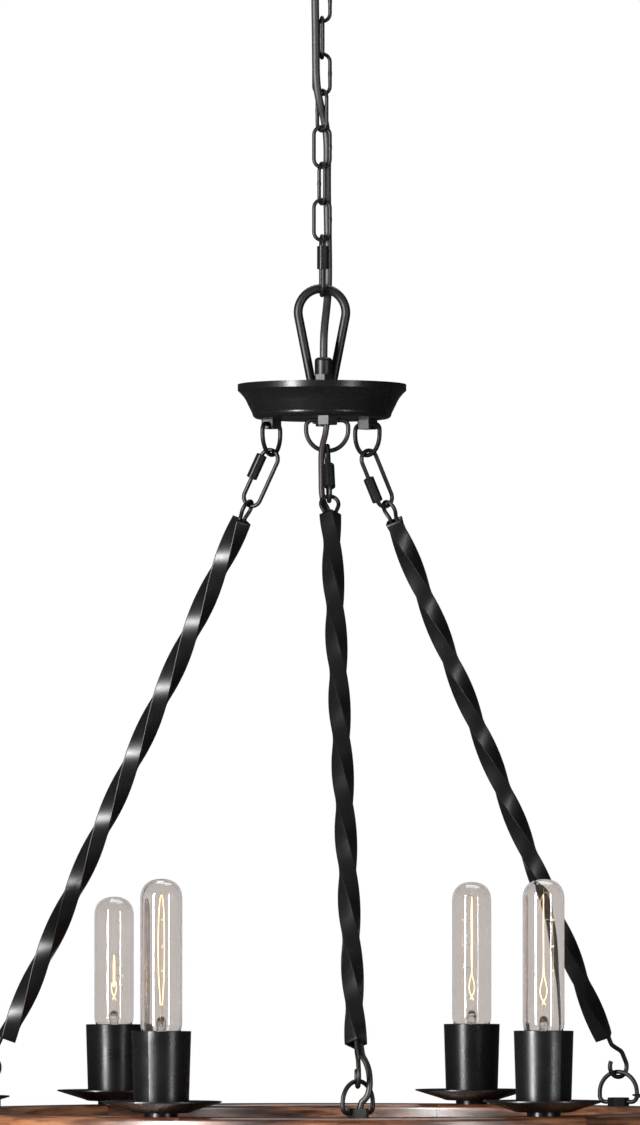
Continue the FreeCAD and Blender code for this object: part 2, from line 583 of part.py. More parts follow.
def build_hub():
    half = size("(loop_width - loop_rod) / 2")
    neck, drop = size("loop_neck / 2"), size("loop_drop")
    to_centre = math.hypot(neck, drop)
    slope = math.asin(half / to_centre) - math.atan2(neck, drop)
    touch = Vector(half * math.cos(slope), 0, -half * math.sin(slope))
    into_block = size("loop_block_depth + 2")
    foot = Vector(neck - into_block * math.tan(slope), 0, -drop - into_block)
    foot_left, touch_left = Vector(-foot.x, 0, foot.z), Vector(-touch.x, 0, touch.z)
    rod = [
        Part.LineSegment(foot, touch).toShape(),
        arc_edge(Vector(), half, -math.degrees(slope), 180 + math.degrees(slope)),
        Part.LineSegment(touch_left, foot_left).toShape(),
    ]
    hoop = feature("loop_rod", wire_along(rod, size("loop_rod")), Placement(Vector(0, 0, LEVEL_LOOP), Rotation()))
    block = cylinder("loop_block", "loop_block_diameter / 2", "loop_block_height")
    place(block, z=LEVEL_DISH - size("loop_block_depth + loop_block_height"))
    shank_length = "dish_height - loop_block_depth - loop_block_height + nut_height + 2"
    shank = cylinder("loop_shank", "tube_diameter / 2", shank_length)
    place(shank, z=LEVEL_DISH - size(f"loop_block_depth + loop_block_height + {shank_length}"))
    node("hub_loop", fuse("hub_loop", hoop, block, shank))

    tube_hole = "tube_diameter / 2 + hole_clearance"
    waist = "dish_diameter / 2 - 8"
    dish = turned(
        "dish_blank",
        [
            (tube_hole, "0"),
            ("dish_floor_diameter / 2 - dish_corner", "0", "dish_corner", -1),
            ("dish_floor_diameter / 2", "dish_corner"),
            (waist, "dish_corner + 7", "dish_hollow", 1),
            ("dish_diameter / 2", "dish_height - dish_lip"),
            ("dish_diameter / 2", "dish_height"),
            ("dish_diameter / 2 - dish_wall", "dish_height"),
            ("dish_diameter / 2 - dish_wall", "dish_height - dish_lip + dish_wall * 0.6"),
            (f"{waist} - dish_wall", "dish_corner + 7 + dish_wall * 0.4"),
            ("dish_floor_diameter / 2 - dish_wall", "dish_corner"),
            ("dish_floor_diameter / 2 - dish_corner", "dish_wall"),
            (tube_hole, "dish_wall"),
        ],
    )
    fitting_hole = cylinder("dish_hole", tube_hole, "dish_wall", ("swivel_circle / 2", 0, 0))
    holes = around("dish_holes", fitting_hole, len(HANGERS), HANGERS["front"])
    node("hub_dish", place(cut("dish", dish, holes), z=LEVEL_HUB_FITTING))

    cover_level = LEVEL_DISH - size("cover_depth + sheet_wall")
    cover = cylinder("cover_blank", "dish_diameter / 2 - dish_wall - hole_clearance", "sheet_wall")
    rod_radius = "loop_rod / 2 / cos(12) + 2 * hole_clearance"
    rod_holes = [
        cylinder(f"cover_rod_hole_{way}", rod_radius, "sheet_wall", (where, 0, 0))
        for way, where in (("right", "loop_neck / 2 - cover_depth * 0.4"), ("left", "cover_depth * 0.4 - loop_neck / 2"))
    ]
    grip_hole = cylinder("cover_grip_hole", tube_hole, "sheet_wall", (0, "-grip_forward", 0))
    node("hub_cover", place(cut("hub_cover", cover, *rod_holes, grip_hole), z=cover_level))

    cap_radius, cap_bend = "grip_diameter / 2", "3"
    cord_hole = "supply_cord_diameter / 2 + hole_clearance"
    grip_cap = turned(
        "grip_cap",
        [
            (cord_hole, "-grip_stub"),
            ("tube_diameter / 2", "-grip_stub"),
            ("tube_diameter / 2", "grip_hex_height"),
            (cap_radius, "grip_hex_height"),
            (cap_radius, f"grip_hex_height + grip_height - {cap_bend}", cap_bend, -1),
            (f"{cap_radius} - {cap_bend}", "grip_hex_height + grip_height"),
            (cord_hole, "grip_hex_height + grip_height"),
        ],
    )
    grip_hexagon = hexagon("grip_hexagon", "grip_hex_width", "grip_hex_height")
    grip_bore = cylinder("grip_bore", cord_hole, "grip_hex_height")
    grip = cut("cord_grip", fuse("grip_blank", grip_cap, grip_hexagon), grip_bore)
    node("cord_grip", place(grip, y=-size("grip_forward"), z=LEVEL_DISH - size("cover_depth")))

    fitting = ring_fitting("hub_fitting", "dish_wall + nut_height + 3")
    out = Placement(Vector(size("swivel_circle / 2"), 0, LEVEL_HUB_FITTING), turn(90))
    node("hub_fittings", around("hub_fittings", fitting, len(HANGERS), HANGERS["front"], out))
    ring = feature("ring_pattern", d_ring())
    hung = Placement(Vector(size("swivel_circle / 2"), 0, LEVEL_HUB_RING), turn(90))
    node("hub_rings", around("hub_rings", ring, len(HANGERS), HANGERS["front"], hung))

    nut = tube_nut("tube_nut")
    on_fitting = Placement(Vector(size("swivel_circle / 2"), 0, LEVEL_HUB_FITTING + size("dish_wall")), Rotation())
    nuts = around("fitting_nuts", nut, len(HANGERS), HANGERS["front"], on_fitting)
    shank_nut = nut.Shape.transformed(
        Placement(Vector(0, 0, LEVEL_HUB_FITTING - size("nut_height")), turn(90)).toMatrix(), True
    )
    node("hub_nuts", feature("hub_nuts", Part.makeCompound(nuts.Shape.Solids + [shank_nut])))
    return ring, nut


# ---------------------------------------------------------------- hangers


def square(side, height, angle):
    """A square wire across the bar at a height, with a corner at that angle in degrees."""
    reach = side / math.sqrt(2)
    corners = []
    for quarter in range(5):
        at = math.radians(angle + 90 * quarter)
        corners.append(Vector(reach * math.cos(at), reach * math.sin(at), height))
    return Part.makePolygon(corners)


def twisted(side):
    """A square bar along +Z, twisted to the left, through four sections in each quarter turn."""
    steps = 4 * int(size("bar_quarter_turns"))
    length = size("bar_length")
    return Part.makeLoft([square(side, length * i / steps, -22.5 * i) for i in range(steps + 1)], True, False)


def bar_loop():
    """The wire loop on a bar, in the YZ plane of the hanger, with its two feet inside the tube."""
    half = size("(bar_loop_width - bar_loop_wire) / 2")
    foot = size("bar_wire_offset")
    top = -BAR_START + size("bar_loop_height - bar_loop_wire / 2")
    depth = -BAR_START - size("bar_wire_depth")
    mouth = -BAR_START
    right = bent_path(
        [Vector(0, foot, depth), Vector(0, foot, mouth + 2), Vector(0, half, mouth + 8), Vector(0, half, top - half)],
        [4, 6],
    )
    left = bent_path(
        [Vector(0, -half, top - half), Vector(0, -half, mouth + 8), Vector(0, -foot, mouth + 2), Vector(0, -foot, depth)],
        [6, 4],
    )
    centre = Vector(0, 0, top - half)
    crown = Part.Arc(Vector(0, half, top - half), Vector(0, 0, top), Vector(0, -half, top - half)).toShape()
    return wire_along(right + [crown] + left, size("bar_loop_wire"))


def hook():
    """The hook at a bar's foot, in the XZ plane of the hanger."""
    start_out, bowl = size("bar_wire_offset"), size("hook_bowl")
    centre = Vector(BOWL_OUT, 0, -BOWL_DOWN)
    neck_end = -BAR_END - size("hook_neck")
    outer = centre + Vector(bowl, 0, 0)
    neck = bent_path(
        [
            Vector(start_out, 0, -BAR_END + size("bar_wire_depth")),
            Vector(start_out, 0, neck_end),
            outer + Vector(0, 0, size("hook_centre_down - hook_neck") / 2),
            outer,
        ],
        [6, 6],
    )
    bowl_arcs = [arc_edge(centre, bowl, 0, -180), arc_edge(centre, bowl, 180, 125)]
    return wire_along(neck + bowl_arcs, size("hook_wire"))


def build_hangers():
    tube = feature("tube_pattern", twisted(size("bar_side")).cut(twisted(size("bar_side - 2 * bar_wall"))))
    ends = Part.makeCompound([bar_loop(), hook()])
    wire, sleeve_length = size("hanger_link_wire"), size("hanger_sleeve_length")
    sizes = (size("hanger_link_length"), size("hanger_link_width"), wire, sleeve_length)
    link_centre = size("(hanger_link_length - hanger_link_wire) / 2") - LINK_HANG
    for name, direction in HANGERS.items():
        frame = hanger_place(direction)
        side, opens = SLEEVES[name]
        hung = frame.multiply(Placement(Vector(0, 0, -link_centre), Rotation()))
        node(f"hanger_link_{name}", feature(f"link_{name}", open_link(*sizes, side, opens), hung))
        sleeve = screw_sleeve(f"sleeve_{name}", "hanger_sleeve_width", "hanger_sleeve_length", "hanger_link_wire")
        foot = Vector(side * size("(hanger_link_width - hanger_link_wire) / 2"), 0, sleeve_foot(*sizes, opens))
        sleeve.Placement = hung.multiply(Placement(foot, Rotation()))
        node(f"hanger_sleeve_{name}", sleeve)
        bar_at = frame.multiply(Placement(Vector(0, 0, -BAR_END), Rotation()))
        node(f"hanger_bar_{name}", feature(f"bar_{name}", tube.Shape, bar_at))
        node(f"bar_wires_{name}", feature(f"wires_{name}", ends, frame))


# ---------------------------------------------------------------- wooden wheel


def build_rim(ring):
    outside = "wheel_radius + rim_width / 2"
    inside = "wheel_radius - rim_width / 2"
    hoop = turned(
        "rim_hoop",
        [
            (f"{outside} - rim_edge", "0", "rim_edge", 1),
            (outside, "-rim_edge"),
            (outside, "rim_edge - rim_height", "rim_edge", 1),
            (f"{outside} - rim_edge", "-rim_height"),
            ("wheel_radius + channel_width / 2", "-rim_height"),
            ("wheel_radius + channel_width / 2", "channel_depth - rim_height"),
            ("wheel_radius - channel_width / 2", "channel_depth - rim_height"),
            ("wheel_radius - channel_width / 2", "-rim_height"),
            (f"{inside} + rim_edge", "-rim_height", "rim_edge", 1),
            (inside, "rim_edge - rim_height"),
            (inside, "-rim_edge", "rim_edge", 1),
            (f"{inside} + rim_edge", "0"),
        ],
    )
    tube_hole = cylinder(
        "rim_tube_hole", "tube_diameter / 2 + hole_clearance", "rim_height", ("wheel_radius", 0, "-rim_height")
    )
    light_holes = around("rim_light_holes", tube_hole, size("light_count"), FIRST_LIGHT)
    fitting_holes = around("rim_fitting_holes", tube_hole, len(HANGERS), HANGERS["front"])
    mortise = cylinder(
        "rim_mortise",
        "tenon_diameter / 2 + hole_clearance",
        "tenon_length + 2 * hole_clearance + spoke_play",
        (f"{inside} - spoke_play", 0, "-spoke_drop"),
        Rotation(Vector(0, 1, 0), 90),
    )
    first_spoke = FIRST_LIGHT + 180 / size("spoke_count")
    mortises = around("rim_mortises", mortise, size("spoke_count"), first_spoke)
    slot = primitive(
        "Box",
        "felloe_joint",
        {"Length": "rim_width + 2", "Width": "felloe_gap", "Height": "rim_height + 2"},
        (f"{inside} - 1", "-felloe_gap / 2", "-rim_height - 1"),
    )
    joints = around("felloe_joints", slot, size("felloe_count"), FIRST_LIGHT + size("felloe_shift"))
    node("rim_felloes", place(cut("rim", hoop, light_holes, fitting_holes, mortises, joints), z=LEVEL_RIM))

    fitting = ring_fitting("rim_fitting", "rim_height - channel_depth - 2")
    upside_down = Rotation(Vector(1, 0, 0), 180)
    fittings, rings = [], []
    for name, direction in HANGERS.items():
        spot = Placement(Vector(), turn(direction)).multVec(Vector(size("wheel_radius"), 0, LEVEL_RIM))
        facing = turn(direction + 90 + RING_TURNS[name])
        doc.recompute()
        seated = Placement(spot, facing.multiply(upside_down))
        fittings.append(fitting.Shape.transformed(seated.toMatrix(), True))
        hinged = Placement(spot + Vector(0, 0, size("fitting_height / 2")), facing.multiply(upside_down))
        rings.append(ring.Shape.transformed(hinged.toMatrix(), True))
    node("rim_fittings", feature("rim_fittings", Part.makeCompound(fittings)))
    node("rim_rings", feature("rim_rings", Part.makeCompound(rings)))

    wiring = primitive(
        "Torus",
        "wiring_arc",
        {"Radius1": "wheel_radius", "Radius2": "wiring_diameter / 2", "Angle3": "360 / light_count - 6"},
    )
    doc.recompute()
    under_ceiling = LEVEL_RIM - size("rim_height - channel_depth + wiring_diameter / 2 + hole_clearance")
    lifted = Placement(Vector(0, 0, under_ceiling), turn(3))
    node("rim_wiring", around("rim_wiring", wiring, size("light_count"), FIRST_LIGHT, lifted))


def build_spokes_and_nave():
    tenon = "tenon_diameter / 2"
    first_shoulder = "tenon_length"
    length = size("wheel_radius - rim_width / 2 - nave_diameter / 2 + 2 * tenon_length")
    last_shoulder = "wheel_radius - rim_width / 2 - nave_diameter / 2 + tenon_length - 2 * spoke_play"
    end = "wheel_radius - rim_width / 2 - nave_diameter / 2 + 2 * tenon_length - 2 * spoke_play"
    belly = "spoke_diameter / 2"
    neck = "spoke_neck_diameter / 2"
    spoke = turned(
        "spoke",
        [
            ("0", "0"),
            (tenon, "0"),
            (tenon, first_shoulder),
            (f"{belly} - 3", first_shoulder),
            (f"{belly} - 3", f"{first_shoulder} + 6"),
            (neck, f"{first_shoulder} + 10", "200", -1),
            (belly, f"{first_shoulder} + 70", "400", -1),
            (neck, f"{last_shoulder} - 26"),
            ("spoke_end_diameter / 2 + 1.5", f"{last_shoulder} - 22", "3", -1),
            ("spoke_end_diameter / 2 + 1.5", f"{last_shoulder} - 18"),
            (neck, f"{last_shoulder} - 14"),
            ("spoke_end_diameter / 2", last_shoulder),
            (tenon, last_shoulder),
            (tenon, end),
            ("0", end),
        ],
    )
    inner_end = size("nave_diameter / 2 - tenon_length + spoke_play")
    laid = Placement(Vector(inner_end, 0, LEVEL_RIM - size("spoke_drop")), Rotation(Vector(0, 1, 0), 90))
    first_spoke = FIRST_LIGHT + 180 / size("spoke_count")
    node("wheel_spokes", around("wheel_spokes", spoke, size("spoke_count"), first_spoke, laid))

    radius = "nave_diameter / 2"
    band_top, band_foot = "-band_width", "-nave_height + 14"
    nave = turned(
        "nave_blank",
        [
            ("0", "0"),
            (f"{radius} - 12", "0"),
            (f"{radius} - 4", "-2"),
            (f"{radius} - band_thickness", "-2"),
            (f"{radius} - band_thickness", "-2 - band_width / 2"),
            (radius, "-2 - band_width / 2"),
            (radius, f"{band_foot} + band_width"),
            (f"{radius} - band_thickness", f"{band_foot} + band_width"),
            (f"{radius} - band_thickness", band_foot, "18", -1),
            ("nave_foot_diameter / 2 + 6", "-nave_height + 3"),
            ("nave_foot_diameter / 2", "-nave_height"),
            ("0", "-nave_height"),
        ],
    )
    top_to_axis = "spoke_drop - nave_top_drop"
    mortise = cylinder(
        "nave_mortise",
        f"{tenon} + hole_clearance",
        "tenon_length + 2",
        (f"{radius} - tenon_length", 0, f"-({top_to_axis})"),
        Rotation(Vector(0, 1, 0), 90),
    )
    mortises = around("nave_mortises", mortise, size("spoke_count"), first_spoke)
    level = LEVEL_RIM - size("nave_top_drop")
    node("wheel_nave", place(cut("wheel_nave", nave, mortises), z=level))

    bands = []
    for name, foot, height in (
        ("upper", "-2 - band_width / 2", "band_width / 2"),
        ("lower", band_foot, "band_width"),
    ):
        outer = cylinder(f"{name}_band_outer", f"{radius} + 0.5", height, (0, 0, foot))
        inner = cylinder(f"{name}_band_inner", f"{radius} - band_thickness", height, (0, 0, foot))
        bands.append(cut(f"{name}_band", outer, inner))
    doc.recompute()
    hoops = Part.makeCompound([band.Shape for band in bands])
    node("nave_bands", feature("nave_bands", hoops, Placement(Vector(0, 0, level), Rotation())))


# ---------------------------------------------------------------- lights


def build_lights(nut):
    tube_hole = "tube_diameter / 2 + hole_clearance"
    pan_level = size("spacer_height")
    cup_level = pan_level + size("pan_wall")
    socket_level = cup_level + size("sheet_wall")
    count = size("light_count")

    def lights(name, source, level):
        spot = Placement(Vector(size("wheel_radius"), 0, LEVEL_RIM + level), Rotation())
        node(name, around(name, source, count, FIRST_LIGHT, spot))

    washer_round = cylinder("pan_washer_round", "spacer_diameter / 2", "spacer_height")
    lights("pan_washers", cut("pan_washer", washer_round, cylinder("washer_hole", tube_hole, "spacer_height")), 0)

    pan = turned(
        "drip_pan",
        [
            (tube_hole, "0"),
            ("pan_floor_diameter / 2 - 4", "0", "10", -1),
            ("pan_floor_diameter / 2", "1.2"),
            ("pan_diameter / 2", "pan_height - pan_wall"),
            ("pan_diameter / 2", "pan_height"),
            ("pan_diameter / 2 - 1", "pan_height"),
            ("pan_floor_diameter / 2 - 0.5", "1.2 + pan_wall"),
            ("pan_floor_diameter / 2 - 4", "pan_wall"),
            (tube_hole, "pan_wall"),
        ],
    )
    lights("drip_pans", pan, pan_level)

    cup = turned(
        "candle_cup",
        [
            (tube_hole, "0"),
            ("cup_floor_diameter / 2 - 1", "0", "1.5", -1),
            ("cup_floor_diameter / 2", "1"),
            ("cup_diameter / 2", "cup_height"),
            ("cup_diameter / 2 - sheet_wall", "cup_height"),
            ("cup_floor_diameter / 2 - sheet_wall", "sheet_wall"),
            (tube_hole, "sheet_wall"),
        ],
    )
    lights("candle_cups", cup, cup_level)

    socket = turned(
        "lamp_socket",
        [
            (tube_hole, "0"),
            ("socket_diameter / 2", "0"),
            ("socket_diameter / 2", "socket_height - 2"),
            ("socket_diameter / 2 - 1", "socket_height"),
            ("cap_diameter / 2 + cap_clearance", "socket_height"),
            ("cap_diameter / 2 + cap_clearance", "socket_floor"),
            (tube_hole, "socket_floor"),
        ],
    )
    lights("lamp_sockets", socket, socket_level)

    tube_foot = -size("rim_height - channel_depth + nut_height + 2")
    tube_length = f"rim_height - channel_depth + nut_height + 2 + {socket_level} + socket_floor - 3"
    rod = cylinder("light_tube_rod", "tube_diameter / 2", tube_length)
    lights("light_tubes", cut("light_tube", rod, cylinder("light_tube_bore", "tube_bore / 2", tube_length)), tube_foot)
    lights("light_nuts", nut, -size("rim_height - channel_depth + nut_height + hole_clearance"))
    build_bulbs(socket_level + size("socket_floor + cap_clearance"))


def bulb_glass(label, length):
    """The glass of a bulb, open at its neck, standing on the contact's level."""
    radius, neck = "bulb_diameter / 2", "cap_diameter / 2 - cap_wall - 0.2"
    return turned(
        label,
        [
            (f"{neck} - glass_wall", "cap_height - 8"),
            (neck, "cap_height - 8"),
            (neck, "cap_height + 1", "22", -1),
            (radius, "cap_height + 15"),
            (radius, f"{length} - {radius}", radius, -1),
            ("0", length),
            ("0", f"{length} - glass_wall"),
            (f"{radius} - glass_wall", f"{length} - {radius}"),
            (f"{radius} - glass_wall", "cap_height + 15"),
            (f"{neck} - glass_wall", "cap_height + 1"),
        ],
    )


def filament(length):
    """A standing zigzag of wire on the stem, with its two feet on the stem's top."""
    foot, top = size("stem_height"), size(f"{length} - filament_clearance")
    spread = size("filament_spread")
    rise, bottom = foot + 2, foot + 7
    across = [-spread / 2, -spread / 6, spread / 6, spread / 2]
    corners = [Vector(-2, 0, foot), Vector(-2, 0, rise), Vector(across[0], 0, bottom)]
    corners += [Vector(across[0], 0, top), Vector(across[1], 0, top), Vector(across[1], 0, bottom + 4)]
    corners += [Vector(across[2], 0, bottom + 4), Vector(across[2], 0, top), Vector(across[3], 0, top)]
    corners += [Vector(across[3], 0, bottom), Vector(2, 0, rise), Vector(2, 0, foot)]
    return wire_along(bent_path(corners, [1.2] * (len(corners) - 2)), size("filament_wire"))


def build_bulbs(contact_level):
    cap = turned(
        "bulb_cap",
        [
            ("0", "0"),
            ("4.5", "0"),
            ("5.5", "1.5"),
            ("cap_diameter / 2 - 1", "6"),
            ("cap_diameter / 2", "7"),
            ("cap_diameter / 2", "cap_height"),
            ("cap_diameter / 2 - cap_wall", "cap_height"),
            ("cap_diameter / 2 - cap_wall", "8"),
            ("0", "8"),
        ],
    )
    stem = turned(
        "bulb_stem",
        [
            ("0", "cap_height - 6"),
            ("cap_diameter / 2 - cap_wall - 0.5 - glass_wall", "cap_height - 6"),
            ("cap_diameter / 2 - cap_wall - 0.5 - glass_wall", "cap_height - 5", "30", 1),
            ("3.2", "cap_height + 8"),
            ("3.2", "stem_height - 4"),
            ("4", "stem_height - 2"),
            ("4", "stem_height"),
            ("0", "stem_height"),
        ],
    )
    glasses = {length: bulb_glass(f"glass_{length}", length) for length in ("bulb_length", "short_bulb_length")}
    doc.recompute()
    for number in range(int(size("light_count"))):
        length = "short_bulb_length" if number + 1 == SHORT_BULB else "bulb_length"
        direction = FIRST_LIGHT + number * LIGHT_STEP
        spot = Vector(size("wheel_radius"), 0, LEVEL_RIM + contact_level)
        # The filament faces the front, whichever way the light lies.
        at = Placement(turn(direction).multVec(spot), Rotation())
        inside = Part.makeCompound([stem.Shape, filament(length)])
        for name, shape in (("glass", glasses[length].Shape), ("cap", cap.Shape), ("filament", inside)):
            node(f"bulb_{name}_{number + 1}", feature(f"bulb_{name}", shape, at))


# ---------------------------------------------------------------- cords


def supply_points():
    """The supply cord: down beside the chain, through its fifth link, behind the hub's loop and into the grip."""
    threaded = LEVEL_FIRST_LINK - 4 * LINK_STEP
    grip_top = LEVEL_DISH - size("cover_depth - grip_hex_height - grip_height")
    forward = -size("grip_forward")
    return [
        Vector(0, 0, -1),
        Vector(0, 0, LEVEL_EYE + 4.5),
        Vector(-5.6, -6.2, LEVEL_FIRST_LINK + 16),
        Vector(-6.2, -6.6, LEVEL_FIRST_LINK - 22),
        Vector(-5.5, -6.5, LEVEL_FIRST_LINK - 62),
        Vector(-5.3, -7.0, threaded + 14),
        Vector(5.3, 7.1, threaded - 14),
        Vector(4.4, 5.7, threaded - 58),
        Vector(5.4, 6.3, threaded - 100),
        Vector(5.8, 7.4, LEVEL_LOOP_TOP + 9),
        Vector(5.0, 7.3, LEVEL_LOOP_TOP - 10),
        Vector(1.2, -8.0, grip_top + 25),
        Vector(0, forward, grip_top + 10),
        Vector(0, forward, LEVEL_DISH - size("cover_depth + grip_stub") - 1),
    ]


def wheel_points():
    """The wheel's cord: out of the front fitting, past its ring and link, down the hollow bar and into the rim."""
    frame = hanger_place(HANGERS["front"])

    def beside_bar(along, out, across):
        """A point in the front hanger's frame, measured down from the foot of its hub ring."""
        return frame.multVec(Vector(out, across, -along))

    ring_front = -size("swivel_circle / 2")
    inside_dish = LEVEL_HUB_FITTING + 20
    rim_front = -size("wheel_radius")
    fitting_top = LEVEL_RIM + size("fitting_height")
    return [
        Vector(-20, ring_front + 9, inside_dish - 1),
        Vector(0, ring_front, inside_dish),
        Vector(0, ring_front, LEVEL_HUB_FITTING - size("fitting_height") - 3),
        beside_bar(1, 5.0, -5.2),
        beside_bar(20, 0.6, -5.4),
        beside_bar(41, -4.9, -5.6),
        beside_bar(52, -3.4, -1.0),
        beside_bar(BAR_START + 6, 0, 0),
        beside_bar(BAR_END + 4, 0, 1.0),
        Vector(8.5, rim_front + 5, LEVEL_RIM_RING_TOP + 12),
        Vector(9.5, rim_front - 1, LEVEL_RIM_RING_TOP - 3),
        Vector(7, rim_front - 2, LEVEL_RIM_RING_TOP - 13),
        Vector(0, rim_front, fitting_top + 3),
        Vector(0, rim_front, LEVEL_RIM - size("rim_height - channel_depth - 3")),
    ]


def build_cords():
    node("supply_cord", cord("supply_cord", supply_points(), size("supply_cord_diameter")))
    node("wheel_cord", cord("wheel_cord", wheel_points(), size("wheel_cord_diameter")))


# ---------------------------------------------------------------- build, check and write

build_ceiling()
build_chain()
ring_pattern, nut_pattern = build_hub()
build_hangers()
build_rim(ring_pattern)
build_spokes_and_nave()
build_lights(nut_pattern)
build_cords()
doc.recompute()

faults = [f"{thing.Name}: {state}" for thing in doc.Objects for state in thing.State if state in ("Invalid", "Error")]
for name, thing in nodes.items():
    shape = thing.Shape
    if shape.isNull() or not shape.isValid() or not shape.Solids or min(s.Volume for s in shape.Solids) <= 0:
        faults.append(f"{name}: bad shape")
if faults:
    raise RuntimeError("; ".join(faults))

os.makedirs("parts", exist_ok=True)
for name, thing in nodes.items():
    thing.Shape.exportStep(f"parts/{name}.step")

print(f"{len(nodes)} nodes, rim top at {LEVEL_RIM:.2f}, lean {math.degrees(LEAN):.3f} degrees")
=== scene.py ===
import math

import bmesh
import bpy
from mathutils import Matrix, Vector


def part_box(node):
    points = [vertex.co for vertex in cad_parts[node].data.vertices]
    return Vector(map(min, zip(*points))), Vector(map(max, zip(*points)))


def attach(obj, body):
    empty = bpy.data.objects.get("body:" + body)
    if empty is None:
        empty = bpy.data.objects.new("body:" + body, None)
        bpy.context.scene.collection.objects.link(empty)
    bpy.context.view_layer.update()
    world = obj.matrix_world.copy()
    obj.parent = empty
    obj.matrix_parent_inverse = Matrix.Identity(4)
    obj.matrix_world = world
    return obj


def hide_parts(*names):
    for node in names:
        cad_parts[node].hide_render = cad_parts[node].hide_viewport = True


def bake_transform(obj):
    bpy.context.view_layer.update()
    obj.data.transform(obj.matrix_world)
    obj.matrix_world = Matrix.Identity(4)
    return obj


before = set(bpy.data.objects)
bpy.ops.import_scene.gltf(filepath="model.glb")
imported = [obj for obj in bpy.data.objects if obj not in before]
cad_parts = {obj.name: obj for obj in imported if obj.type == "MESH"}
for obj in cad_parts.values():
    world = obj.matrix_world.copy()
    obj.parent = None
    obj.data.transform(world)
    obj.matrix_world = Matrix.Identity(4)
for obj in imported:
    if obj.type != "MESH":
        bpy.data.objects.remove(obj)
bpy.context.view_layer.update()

mm = 0.001
wheelRadius = 0.292
print("frame loaded:", len(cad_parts), "nodes")


class Wire:
    # one socket, so that shader and field sums are written as sums
    def __init__(self, tree, socket):
        self.tree, self.socket = tree, socket

    def calc(self, operation, *others):
        return self.tree.node("ShaderNodeMath", {"operation": operation}, [self, *others])

    def also(self, output):
        return Wire(self.tree, self.socket.node.outputs[output])

    def __add__(self, other):
        return self.calc("ADD", other)

    def __mul__(self, other):
        return self.calc("MULTIPLY", other)

    def __sub__(self, other):
        return self.calc("SUBTRACT", other)

    def __truediv__(self, other):
        return self.calc("DIVIDE", other)

    def __rsub__(self, other):
        return self.tree.node("ShaderNodeMath", {"operation": "SUBTRACT"}, [other, self])

    __radd__ = __add__
    __rmul__ = __mul__


class Tree:
    def __init__(self, tree):
        self.tree = tree

    def node(self, kind, settings=None, sockets=None, output=0):
        made = self.tree.nodes.new(kind)
        for name, value in (settings or {}).items():
            if name == "stops":
                while len(made.color_ramp.elements) < len(value):
                    made.color_ramp.elements.new(0.5)
                for stop, (place, colour) in zip(made.color_ramp.elements, value):
                    stop.position, stop.color = place, (*colour, 1)
            else:
                setattr(made, name, value)
        named = sockets.items() if isinstance(sockets, dict) else enumerate(sockets or [])
        for key, value in named:
            if isinstance(value, Wire):
                self.tree.links.new(value.socket, made.inputs[key])
            else:
                made.inputs[key].default_value = value
        return Wire(self, made.outputs[output]) if made.outputs else made

    def mix(self, factor, first, second):
        # counted from zero, a mix node's colours are its inputs 6 and 7 and its output 2
        pair = [value if isinstance(value, Wire) else (*value, 1) for value in (first, second)]
        return self.node("ShaderNodeMix", {"data_type": "RGBA"}, {0: factor, 6: pair[0], 7: pair[1]}, 2)

    def noise(self, coords, scale, detail=3, roughness=0.55):
        return self.node("ShaderNodeTexNoise", None, {
            "Vector": coords, "Scale": scale, "Detail": detail, "Roughness": roughness})

    def ramp(self, factor, stops):
        return self.node("ShaderNodeValToRGB", {"stops": stops}, [factor])

    def span(self, value, low, high, toLow=0.0, toHigh=1.0):
        return self.node("ShaderNodeMapRange", None, [value, low, high, toLow, toHigh])

    def bump(self, height, strength, distance):
        return self.node("ShaderNodeBump", None, {
            "Height": height, "Strength": strength, "Distance": distance})


def placed(name, data):
    made = bpy.data.objects.new(name, data)
    bpy.context.scene.collection.objects.link(made)
    return made


def emptyTree(owner):
    owner.use_nodes = True
    owner.node_tree.nodes.clear()
    return Tree(owner.node_tree)


def newMaterial(name, look):
    material = bpy.data.materials.new(name)
    tree = emptyTree(material)
    coords = tree.node("ShaderNodeTexCoord", None, None, "Object")
    sockets = look(tree, coords)
    shader = tree.node("ShaderNodeBsdfPrincipled", None, sockets)
    tree.node("ShaderNodeOutputMaterial", None, {"Surface": shader})
    return material


coatLook = {
    "black": (0.0042, 0.004, 0.004), "worn": (0.02, 0.013, 0.0095), "shine": 0.33,
    "cloudsPerMetre": 55, "grainsPerMetre": 1500, "rubsPerMetre": 210, "peelDepth": 0.00012,
}


def powderCoat(roughness, peel, wear):
    def look(tree, coords):
        # a cloudy sheen, the fine peel of the powder, and small spots where it is rubbed brown
        cloud = tree.noise(coords, coatLook["cloudsPerMetre"], 4)
        peelGrain = tree.noise(coords, coatLook["grainsPerMetre"], 2, 0.5)
        rubbed = tree.span(tree.noise(coords, coatLook["rubsPerMetre"], 5, 0.7), 0.62, 0.74, 0, wear)
        return {
            "Base Color": tree.mix(rubbed, coatLook["black"], coatLook["worn"]),
            "Roughness": tree.span(cloud, 0.3, 0.7, roughness - 0.04, roughness + 0.06) + rubbed * 0.1,
            "Normal": tree.bump(peelGrain, peel, coatLook["peelDepth"]),
            "Specular IOR Level": coatLook["shine"],
        }
    return look


def platedSteel(tree, coords):
    cloud = tree.noise(coords, 90, 3)
    return {
        "Base Color": tree.ramp(cloud, [(0.3, (0.34, 0.26, 0.14)), (0.7, (0.6, 0.48, 0.27))]),
        "Metallic": 1.0,
        "Roughness": tree.span(tree.noise(coords, 400, 4), 0.3, 0.7, 0.28, 0.45),
    }


def brightBrass(tree, coords):
    cloud = tree.noise(coords, 120, 3)
    return {
        "Base Color": tree.ramp(cloud, [(0.3, (0.66, 0.47, 0.2)), (0.7, (0.8, 0.62, 0.32))]),
        "Metallic": 1.0,
        "Roughness": tree.span(cloud, 0.3, 0.7, 0.18, 0.32),
    }


